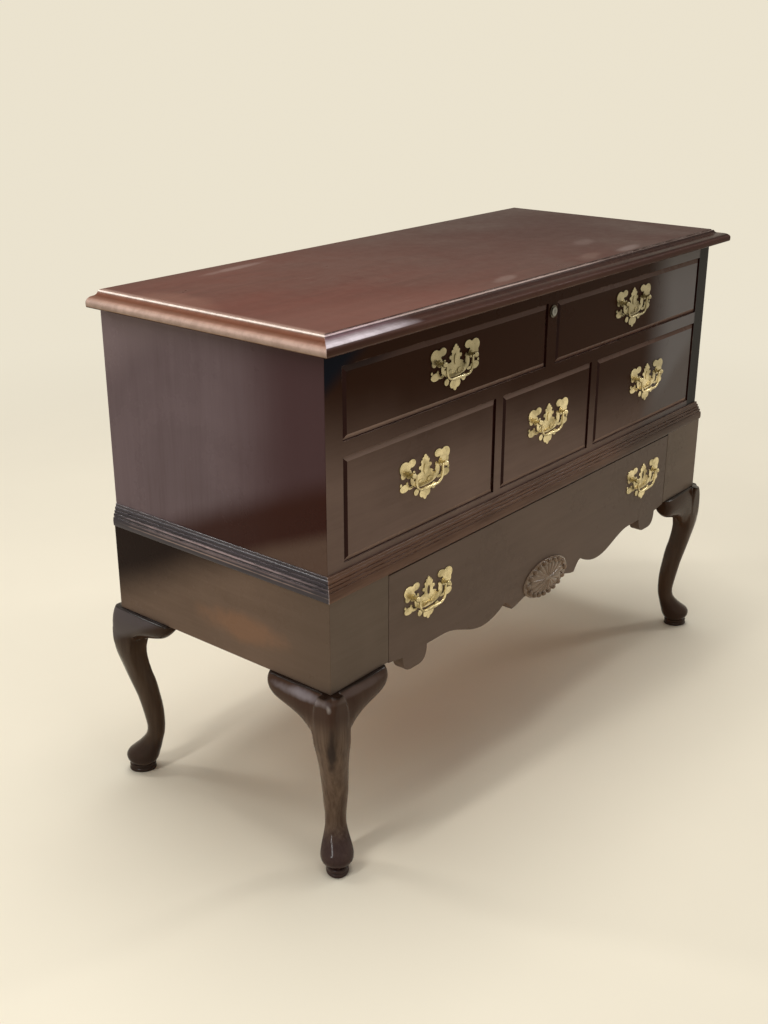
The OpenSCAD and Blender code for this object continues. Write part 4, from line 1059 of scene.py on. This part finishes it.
mitreMark = ((-0.566, -0.2305, 0.472), 0, (0.007, 0.007, 0.022), 0.9, (0.85, 0.7, 0.66))
reedHighlightLines = [    # painted highlight lines along the reeds of the side moulding: height, half width, amount, colour
    (0.4882, 0.0014, 0.6, (0.2, 0.18, 0.2)), (0.48, 0.003, 0.5, (0.12, 0.1, 0.12)),
    (0.4735, 0.0013, 0.6, (0.2, 0.17, 0.19)), (0.4672, 0.0016, 0.85, (0.5, 0.37, 0.36)),
    (0.4612, 0.0026, 0.7, (0.24, 0.17, 0.16)), (0.456, 0.0014, 0.7, (0.4, 0.28, 0.24))]
plainStain = dict(
    along="X", worn=(0.36, 0.24, 0.2), rough=(0.24, 0.38), specular=0.05, wear=0.5, figure=0.55,
    pores=0.05, cloud=0.3, coat=0, fades=(), marks=())
stains = {
    # dark and light stain, grain direction, worn arris, roughness low and high, sheen of the lacquer.
    # fades: direction, start, end, waver, amount, colour; marks: place, turn, half sizes, amount, colour
    "front": dict(
        dark=(0.16, 0.108, 0.088), light=(0.21, 0.143, 0.116), specular=0.02, seed=(0, 0, 0),
        # painted light on the front: painted shade darkening the upper row under the lid, a pale painted
        # reflection towards the right end and over the lower right, a dark painted reflection on the right end,
        # and a dark bluish painted reflection at the upper left
        fades=[((0.18, 0, 1), 0.49, 0.66, 0.06, 0.97, (0.03, 0.009, 0.003)),
               ((1, 0, 0), 0.3, 0.42, 0.04, 0.86, (0.21, 0.195, 0.195)),
               ((1, 0, -1.5), -0.46, -0.38, 0.03, 0.7, (0.12, 0.095, 0.085)),
               ((1, 0, 0), 0.505, 0.512, 0, 0.97, (0.04, 0.038, 0.036)),
               ((-0.6, 0, 1), 1.05, 1.085, 0.02, 0.92, (0.005, 0.009, 0.018))]),
    "case": dict(
        dark=(0.134, 0.094, 0.073), light=(0.174, 0.122, 0.096), seed=(0, 2, 0),
        fades=[((1, 0, 0), -0.05, 0.5, 0.15, 0.6, (0.112, 0.084, 0.068))]),
    "side": dict(
        # the side's bluish light tone is partly a painted sheen
        along="Z", dark=(0.125, 0.086, 0.091), light=(0.168, 0.122, 0.13),
        worn=(0.36, 0.22, 0.18), rough=(0.2, 0.34), specular=0.08, wear=0.02, seed=(3, 1, 2), pores=0.0,
        # painted light: darker towards the front corner and towards the bottom, where the painted sheen falls off,
        # lighter again at the very foot, and lighter at the top towards the back, where the lid shades it
        fades=[((0, -1, 0), -0.02, 0.17, 0.1, 0.88, (0.062, 0.026, 0.028)),
               ((0, -0.41, -1), -0.55, -0.5, 0.03, 0.92, (0.034, 0.005, 0.001)),
               ((0, -0.41, -1), -0.468, -0.438, 0.02, 0.9, (0.118, 0.07, 0.05)),
               ((0, 0.5, 1), 0.77, 0.85, 0.05, 0.55, (0.235, 0.175, 0.178))]),
    "baseSide": dict(
        along="Y", dark=(0.137, 0.09, 0.062), light=(0.182, 0.122, 0.088),
        worn=(0.36, 0.22, 0.18), rough=(0.2, 0.34), wear=0.02, seed=(3, 3, 2), pores=0.0,
        # painted shade: darkest towards the back and the top, under the waist moulding
        fades=[((0, 1, 2.2), 0.88, 1.07, 0.06, 0.97, (0.01, 0.003, 0.002)),
               ((0, -1, 0), 0.08, 0.2, 0.04, 0.5, (0.108, 0.078, 0.056))],
        marks=[((-0.5625, -0.05, 0.357), 0, (0.05, 0.12, 0.03), 0.5, (0.3, 0.155, 0.085))]),
    "stile": dict(dark=(0.132, 0.097, 0.073), light=(0.165, 0.122, 0.093), seed=(0, 2, 4)),
    "leg": dict(
        along="Z", dark=(0.06, 0.032, 0.02), light=(0.17, 0.112, 0.076), figure=0.9,
        worn=(0.42, 0.3, 0.26), rough=(0.12, 0.24), specular=0.08, wear=0.02, seed=(5, 2, 1), coat=0.12,
        fades=[((0, 0, 1), 0.235, 0.275, 0.03, 0.85, (0.04, 0.014, 0.007)),
               ((0, 0, -1), -0.07, -0.045, 0.01, 0.8, (0.042, 0.022, 0.022)),
               # painted shade: the legs to the right and the back legs darker, as they stand in shade
               ((1, 0, 0), -0.1, 0.3, 0, 0.75, (0.036, 0.016, 0.007)),
               ((0, 1, 0), 0, 0.1, 0, 0.65, (0.026, 0.014, 0.007)),
               # a grey painted sheen on the upper parts of the back legs, and a thin painted shade line along the
               # joint under the base
               ((0, 0.5, 1), 0.362, 0.378, 0.01, 0.8, (0.095, 0.078, 0.078)),
               ((0, 0, 1), 0.3035, 0.3055, 0, 0.85, (0.01, 0.005, 0.003))],
        # painted light on the front left leg: painted shade down the knee beside its ridge, a painted sheen along
        # the shoulder of the side wing, a painted highlight at the top of the knee's corner and a painted
        # highlight streak along the front wing
        marks=[((-0.5515, -0.2245, 0.225), 0.785, (0.05, 0.0085, 0.055), 0.85, (0.012, 0.004, 0.003)),
               ((-0.572, -0.18, 0.297), 0, (0.02, 0.075, 0.011), 0.7, (0.34, 0.3, 0.32)),
               ((-0.572, -0.236, 0.292), 0, (0.01, 0.01, 0.012), 0.8, (0.8, 0.74, 0.7)),
               ((-0.5, -0.237, 0.299), 0, (0.07, 0.02, 0.007), 0.4, (0.16, 0.12, 0.11))]),
    "top": dict(
        dark=(0.08, 0.026, 0.018), light=(0.11, 0.036, 0.026),
        worn=(0.5, 0.36, 0.3), rough=(0.26, 0.4), specular=0.01, wear=0.8, seed=(1, 4, 0), figure=0.7,
        # painted light on the top: darker towards the right and the back, lighter towards the near front and left,
        # a pale line along the left edge that is partly painted highlight and partly wear, and a dark painted
        # shadow line along the front edge
        fades=[((1, 0.3, 0), -0.55, 0.5, 0.22, 0.84, (0.028, 0.012, 0.011)),
               ((-0.35, -1, 0), 0.2, 0.34, 0.05, 0.3, (0.17, 0.085, 0.065)),
               ((-1, 0, 0), 0.533, 0.5425, 0, 0.6, (0.34, 0.22, 0.17)),
               ((0, -1, 0), 0.2145, 0.2165, 0, 0.75, (0.022, 0.008, 0.006))],
        marks=[((-0.3, 0.19, 0.82), 0.08, (0.09, 0.012, 0.1), 0.3, (0.3, 0.21, 0.18)),
               ((-0.53, 0.08, 0.82), 0, (0.05, 0.1, 0.1), 0.3, (0.24, 0.11, 0.075)),
               ((0.26, -0.11, 0.82), 0.3, (0.045, 0.022, 0.1), 0.2, (0.2, 0.14, 0.125)),
               ((0.26, -0.2, 0.82), 0.1, (0.05, 0.016, 0.1), 0.3, (0.26, 0.2, 0.18)),
               ((0.15, -0.19, 0.82), 0.2, (0.05, 0.02, 0.1), 0.2, (0.22, 0.14, 0.11)),
               ((-0.1, -0.19, 0.82), 0.2, (0.04, 0.015, 0.1), 0.25, (0.28, 0.2, 0.17))]),
    "lidEdge": dict(
        dark=(0.06, 0.022, 0.016), light=(0.115, 0.044, 0.03), cloud=0.04,
        worn=(0.66, 0.52, 0.46), rough=(0.16, 0.28), specular=0.015, wear=0.7, seed=(1, 4, 0)),
    "moulding": dict(
        dark=(0.075, 0.034, 0.021), light=(0.16, 0.084, 0.055), figure=0.9,
        worn=(0.42, 0.29, 0.24), rough=(0.18, 0.3), specular=0.1, wear=0.8, seed=(2, 2, 5),
        fades=[((1, 0, 0), 0.17, 0.3, 0.05, 0.6, (0.03, 0.014, 0.008))],
        marks=[mitreMark]),
    "mouldingSide": dict(
        along="Y", dark=(0.02, 0.016, 0.021), light=(0.062, 0.05, 0.058), figure=0.9,
        worn=(0.55, 0.46, 0.45), rough=(0.14, 0.24), specular=0.2, wear=0.9, seed=(2, 2, 5),
        marks=[((-0.56, 0, z), 0, (0.02, 0.3, half), amount, colour)
               for z, half, amount, colour in reedHighlightLines] + [mitreMark]),
    "borderSide": dict(
        # painted shade: the upright slopes and the floor of the sunk borders
        along="Z", dark=(0.018, 0.005, 0.004), light=(0.04, 0.012, 0.009),
        worn=(0.3, 0.18, 0.14), rough=(0.24, 0.36), specular=0.08, seed=(0, 1, 0)),
    # painted light: the level slopes of the sunk borders, lit from above and by the floor; its fades are painted
    # shade in the upper row and at the upper left
    "borderLevel": dict(
        dark=(0.2, 0.135, 0.108), light=(0.27, 0.185, 0.15),
        worn=(0.4, 0.28, 0.24), rough=(0.2, 0.32), wear=0.6, seed=(0, 1, 3),
        fades=[((0.18, 0, 1), 0.57, 0.7, 0.04, 0.78, (0.085, 0.036, 0.024)),
               ((-0.6, 0, 1), 0.98, 1.04, 0.02, 0.8, (0.02, 0.01, 0.01))]),
    "shell": dict(
        dark=(0.12, 0.07, 0.038), light=(0.22, 0.13, 0.075),
        worn=(0.62, 0.5, 0.4), rough=(0.14, 0.24), specular=0.25, wear=0.9, seed=(7, 1, 3), coat=0.5),
}


def stainedWood(name, values):
    material, tree, shader, spot = newFinish(name)
    values = {**plainStain, **values}
    stretch = {"X": (0.9, 14, 14), "Y": (14, 0.9, 14), "Z": (14, 14, 0.9)}[values["along"]]
    moved = add(tree, "Mapping", Vector=spot, Location=values["seed"], Scale=stretch).outputs[0]
    grain = use(tree, grainGroup, Vector=moved, Dark=values["dark"], Light=values["light"],
                Figure=values["figure"], Pores=values["pores"])
    clouds = use(tree, cloudGroup, Vector=spot, Scale=3.4)
    wear = use(tree, wearGroup, Vector=spot, Radius=0.0014, Breakup=38.0, Reach=values["wear"])
    tone = grain["Color"]
    if name == "lidEdgeWood":
        low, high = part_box("lid_panel")
        part = add(tree, "SeparateXYZ", i0=spot).outputs
        out = calc(tree, "ABSOLUTE", part[0])
        mitre = high.x + low.y   # the side's moulding lies past the mitre
        side = times(tree, ranged(tree, out, high.x - 0.036, high.x - 0.034),
                     ranged(tree, plus(tree, out, part[1]), mitre - 0.0006, mitre + 0.0006))
        # the moulded edge takes painted highlights and painted shade in bands, with some wear
        bands = use(tree, lidLightBandGroup, Vector=spot, Low=low.z, Height=high.z - low.z, Side=side)
        tone = mixed(tree, 0.95, tone, bands["Color"])
    tone = tinted(tree, tone, clouds["Mask"], values["cloud"], [c * 1.35 for c in values["light"]])
    for way, start, end, waver, amount, colour in values["fades"]:
        fade = use(tree, fadeGroup, Vector=spot, Direction=way, Start=start, End=end, Waver=waver)
        tone = tinted(tree, tone, fade["Mask"], amount, colour)
    for point, turn, size, amount, colour in values["marks"]:
        mark = use(tree, markGroup, Vector=spot, Place=point, Turn=turn, Size=size)
        tone = tinted(tree, tone, mark["Mask"], amount, colour)
    tone = tinted(tree, tone, wear["Mask"], 0.75, values["worn"])
    rough = plus(tree, times(tree, clouds["Mask"], 0.6), times(tree, clouds["Fine"], 0.4))
    rough = ranged(tree, rough, 0, 1, *values["rough"])
    if name == "topWood":
        marks = use(tree, scuffGroup, Vector=spot, Density=0.7)
        tone = tinted(tree, tone, marks["Rubs"], 0.25, (0.42, 0.3, 0.26))
        tone = tinted(tree, tone, marks["Dust"], 0.06, (0.4, 0.33, 0.3))
        rough = plus(tree, rough, times(tree, marks["Dust"], 0.25))
    shader.inputs["Specular IOR Level"].default_value = values["specular"]
    if values["coat"]:
        shader.inputs["Coat Weight"].default_value = values["coat"]
        shader.inputs["Coat Roughness"].default_value = 0.06
    bump = add(tree, "Bump", Strength=0.12, Distance=0.0004, Height=grain["Height"])
    skin = add(tree, "Bump", Strength=0.05, Distance=0.0006, Height=noise(tree, spot, 260, 2, 0.5),
               Normal=bump.outputs[0])
    return coated(material, tone, rough, skin)


def bareWood(name, dark, light, rough, knots=0.0):
    material, tree, _, spot = newFinish(name)
    moved = add(tree, "Mapping", Vector=spot, Location=(4, 3, 1), Scale=(1.2, 11, 11)).outputs[0]
    grain = use(tree, grainGroup, Vector=moved, Dark=dark, Light=light, Figure=1.0, Pores=0.12)
    clouds = use(tree, cloudGroup, Vector=spot, Scale=4.5)
    tone = tinted(tree, grain["Color"], clouds["Mask"], 0.35, [c * 1.25 for c in light])
    if knots:
        rings = add(tree, "TexVoronoi", {"feature": "F1"}, Vector=spot, Scale=5.5, Randomness=1.0)
        rings = ranged(tree, rings.outputs[0], 0.07, 0.02, smooth=True)
        tone = tinted(tree, tone, rings, knots, (0.2, 0.07, 0.03))
    bump = add(tree, "Bump", Strength=0.2, Distance=0.0004, Height=grain["Height"])
    return coated(material, tone, ranged(tree, clouds["Fine"], 0, 1, rough - 0.06, rough + 0.06), bump)


def brassFinish(name, bright, dull, shift, fade=None):
    material, tree, shader, spot = newFinish(name)
    aged = use(tree, brassGroup, Vector=spot, Bright=bright, Dull=dull)
    wear = use(tree, wearGroup, Vector=spot, Radius=0.0008, Breakup=160.0, Reach=0.9)
    tone = tinted(tree, aged["Color"], wear["Mask"], 0.5, [min(1, c * 1.35) for c in bright])
    if fade:
        way, start, end, waver, amount, colour = fade
        mask = use(tree, fadeGroup, Vector=spot, Direction=way, Start=start, End=end, Waver=waver)["Mask"]
        tone = tinted(tree, tone, mask, amount, colour)
    shade = add(tree, "AmbientOcclusion", {"samples": 6, "only_local": False}, Distance=0.006).outputs["AO"]
    tone = mixed(tree, ranged(tree, shade, 0.75, 0.25, 0, 0.6), tone, (0.05, 0.035, 0.015))
    shader.inputs["Metallic"].default_value = 1.0
    bump = add(tree, "Bump", Strength=0.1, Distance=0.0002, Height=aged["Height"])
    return coated(material, tone, plus(tree, aged["Roughness"], shift), bump)


def plainMetal(name, tint, rough, along=(1, 1, 1)):
    material, tree, shader, spot = newFinish(name)
    lines = noise(tree, add(tree, "Mapping", Vector=spot, Scale=along).outputs[0], 60, 3, 0.6)
    dirt = ranged(tree, noise(tree, spot, 30, 4, 0.6), 0.4, 0.75, smooth=True)
    tone = tinted(tree, tint, dirt, 0.45, [c * 0.45 for c in tint])
    rough = plus(tree, ranged(tree, lines, 0.2, 0.8, rough - 0.08, rough + 0.1), times(tree, dirt, 0.12))
    shader.inputs["Metallic"].default_value = 1.0
    return coated(material, tone, rough, add(tree, "Bump", Strength=0.08, Distance=0.0002, Height=lines))


finishes = {kind: stainedWood(kind + "Wood", values) for kind, values in stains.items()}
finishes.update({
    "cedar": bareWood("cedar", (0.36, 0.15, 0.07), (0.62, 0.33, 0.18), 0.55, 0.8),
    "poplar": bareWood("poplar", (0.38, 0.26, 0.13), (0.55, 0.42, 0.24), 0.5),
    # the pulls of the upper row get a painted shade, as under the lid
    "brass": brassFinish("pullBrass", (0.84, 0.72, 0.44), (0.42, 0.35, 0.19), 0.04,
                         ((0.18, 0, 1), 0.62, 0.68, 0.03, 0.75, (0.24, 0.21, 0.13))),
    "hinge": brassFinish("hingeBrass", (0.7, 0.54, 0.24), (0.4, 0.3, 0.12), 0.05),
    "zinc": plainMetal("zincSteel", (0.52, 0.52, 0.5), 0.36, (1, 12, 1)),
    "nickel": plainMetal("nickel", (0.22, 0.215, 0.2), 0.24),
    "bronze": plainMetal("darkBronze", (0.1, 0.085, 0.065), 0.38),
})
slotFinish = {"case_wood": "case", "top_wood": "top", "cedar": "cedar", "inner_wood": "poplar",
              "shell_wood": "shell", "pull_brass": "brass", "hinge_brass": "hinge", "steel": "zinc",
              "lock_metal": "nickel", "lock_ring": "bronze"}
pieceFinish = {"case_front_board": "front", "waist_front": "moulding"}
for side in ("_left", "_right"):
    for name, kind in (("side_panel", "side"), ("base_side", "baseSide"), ("base_stile", "stile"),
                       ("waist", "mouldingSide"), ("cabriole_front", "leg"), ("cabriole_back", "leg")):
        pieceFinish[name + side] = kind
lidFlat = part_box("lid_panel")[1].z - 0.0002     # above it lies the flat top
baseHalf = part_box("side_rail_right")[1].x
endBand = 0.0012        # softened corners count as ends within this
borderDepths = (0.0002, 0.0032, 0.0038)     # of a sunk border: from, its floor, to


def frontFace(face):
    # the ends look like the sides, and the sunk borders have painted light and shade: lit tones on their level
    # slopes, shaded tones on their upright slopes and floor
    depth = face.center.y - caseFront
    near, floor, far = borderDepths
    if abs(face.center.x) > caseHalf - endBand:
        return 1
    if near < depth < far:
        if abs(face.normal.z) > 0.3:
            return 3
        return 2 if abs(face.normal.x) > 0.3 or depth > floor else 0
    return 0


def stileFace(face):
    # the ends of the stiles look like the sides
    return int(abs(face.center.x) > baseHalf - endBand)


# other finishes of single faces: the finishes, and the rule that gives a face its place among them
faceFinish = {
    "lid_board": (["lidEdge"], lambda face: 0 if face.center.z > lidFlat else 1),
    "case_front_board": (["side", "borderSide", "borderLevel"], frontFace),
    "base_stile_left": (["baseSide"], stileFace),
    "base_stile_right": (["baseSide"], stileFace),
}


def giveFinish(piece, slotName):
    piece.data.materials.clear()
    piece.data.materials.append(finishes[pieceFinish.get(piece.name, slotFinish[slotName])])
    extra, rule = faceFinish.get(piece.name, ([], None))
    for name in extra:
        piece.data.materials.append(finishes[name])
    if rule:
        for face in piece.data.polygons:
            face.material_index = rule(face)


nodeSlot = {part["node"]: part["material_slot"] for part in frame["record"]["subparts"]}
for name, node in frame["nodes"].items():
    giveFinish(node, nodeSlot[name])
for piece, slotName in finished:
    giveFinish(piece, slotName)
print("finishes given to", len(finished), "pieces and", len(frame["nodes"]), "solids")


# Studio: a pale floor, soft boxes overhead and the camera of the photograph

studio = {
    "camera": (-1.7110, -1.2753, 1.1982),
    "azimuth": 50.57,
    "elevation": -21.49,
    "lens": 44.58,
    "floor": (0.82, 0.745, 0.59),
    "backdrop": (0.83, 0.765, 0.62),    # colour in which the floor fades out
    "fade": (1.0, 3.0),
    "ambient": (0.85, 0.85, 0.87),
    "ambientStrength": 0.24,
    # place, aimed at, width, length, power
    "boxes": [((0.4, 0.6, 6.5), (0.2, 0.0, 0), 3.4, 3.4, 262),
              ((-0.5, -0.7, 3.4), (-0.2, -0.2, 0.4), 0.14, 1.6, 12),
              ((-2.7, 0.1, 2.9), (-0.5, 0, 0.5), 0.2, 1.8, 30),
              ((2.7, -1.5, 2.5), (0.0, -0.2, 0.7), 0.3, 1.6, 16),
              ((-1.5, 2.4, 2.9), (-0.5, 0, 0.7), 0.3, 1.6, 18)],
}


def seenRay(tree):
    # 1 for the rays by which the background is seen, directly or in a gloss
    path = add(tree, "LightPath").outputs
    seen = calc(tree, "MAXIMUM", path["Is Camera Ray"], path["Is Glossy Ray"])
    return calc(tree, "MAXIMUM", seen, path["Is Transmission Ray"])


def makeFloor():
    bpy.ops.mesh.primitive_plane_add(size=160, location=(0, 0, 0))
    floor = place(bpy.context.object)
    floor.name = "studio_floor"
    material, tree, shader, spot = newFinish("studioFloor")
    haze = ranged(tree, noise(tree, spot, 1.3, 4, 0.55), 0.35, 0.7)
    tone = mixed(tree, haze, studio["floor"], [c * 0.96 for c in studio["floor"]])
    tree.links.new(tone, shader.inputs["Base Color"])
    tree.links.new(ranged(tree, haze, 0, 1, 0.55, 0.7), shader.inputs["Roughness"])
    shader.inputs["Specular IOR Level"].default_value = 0.2
    reach = add(tree, "VectorMath", {"operation": "LENGTH"}, i0=spot).outputs["Value"]
    fade = times(tree, ranged(tree, reach, *studio["fade"], smooth=True), seenRay(tree))
    glow = add(tree, "Emission", Color=studio["backdrop"], Strength=1.0)
    both = add(tree, "MixShader", i0=fade, i1=shader.outputs[0], i2=glow.outputs[0])
    tree.links.new(both.outputs[0], tree.nodes["Material Output"].inputs["Surface"])
    floor.data.materials.append(material)


def makeLights():
    for number, (spot, aim, width, length, power) in enumerate(studio["boxes"]):
        lamp = bpy.data.lights.new(f"softbox_{number}", "AREA")
        lamp.shape, lamp.size, lamp.size_y, lamp.energy = "RECTANGLE", width, length, power
        box = bpy.data.objects.new(f"softbox_{number}", lamp)
        box.location = spot
        box.rotation_euler = (Vector(aim) - Vector(spot)).to_track_quat("-Z", "Y").to_euler()
        box.visible_camera = False
        bpy.context.scene.collection.objects.link(box)
    world = bpy.data.worlds.new("studio")
    world.use_nodes = True
    tree = world.node_tree
    back = tree.nodes["Background"]
    back.inputs["Color"].default_value = colour4(studio["ambient"])
    back.inputs["Strength"].default_value = studio["ambientStrength"]
    pale = add(tree, "Background", Color=studio["backdrop"], Strength=1.0)
    both = add(tree, "MixShader", i0=seenRay(tree), i1=back.outputs[0], i2=pale.outputs[0])
    tree.links.new(both.outputs[0], tree.nodes["World Output"].inputs["Surface"])
    bpy.context.scene.world = world


def makeCamera():
    lens = bpy.data.cameras.new("photo_camera")
    lens.sensor_width, lens.lens, lens.sensor_fit = 36.0, studio["lens"], "AUTO"
    lens.clip_start, lens.clip_end = 0.05, 100
    camera = bpy.data.objects.new("photo_camera", lens)
    az, el = math.radians(studio["azimuth"]), math.radians(studio["elevation"])
    look = Vector((math.sin(az) * math.cos(el), math.cos(az) * math.cos(el), math.sin(el)))
    camera.location = studio["camera"]
    camera.rotation_euler = look.to_track_quat("-Z", "Y").to_euler()
    bpy.context.scene.collection.objects.link(camera)
    bpy.context.scene.camera = camera
    bpy.context.scene.view_settings.view_transform = "Standard"


makeFloor()
makeLights()
makeCamera()
print("studio set")
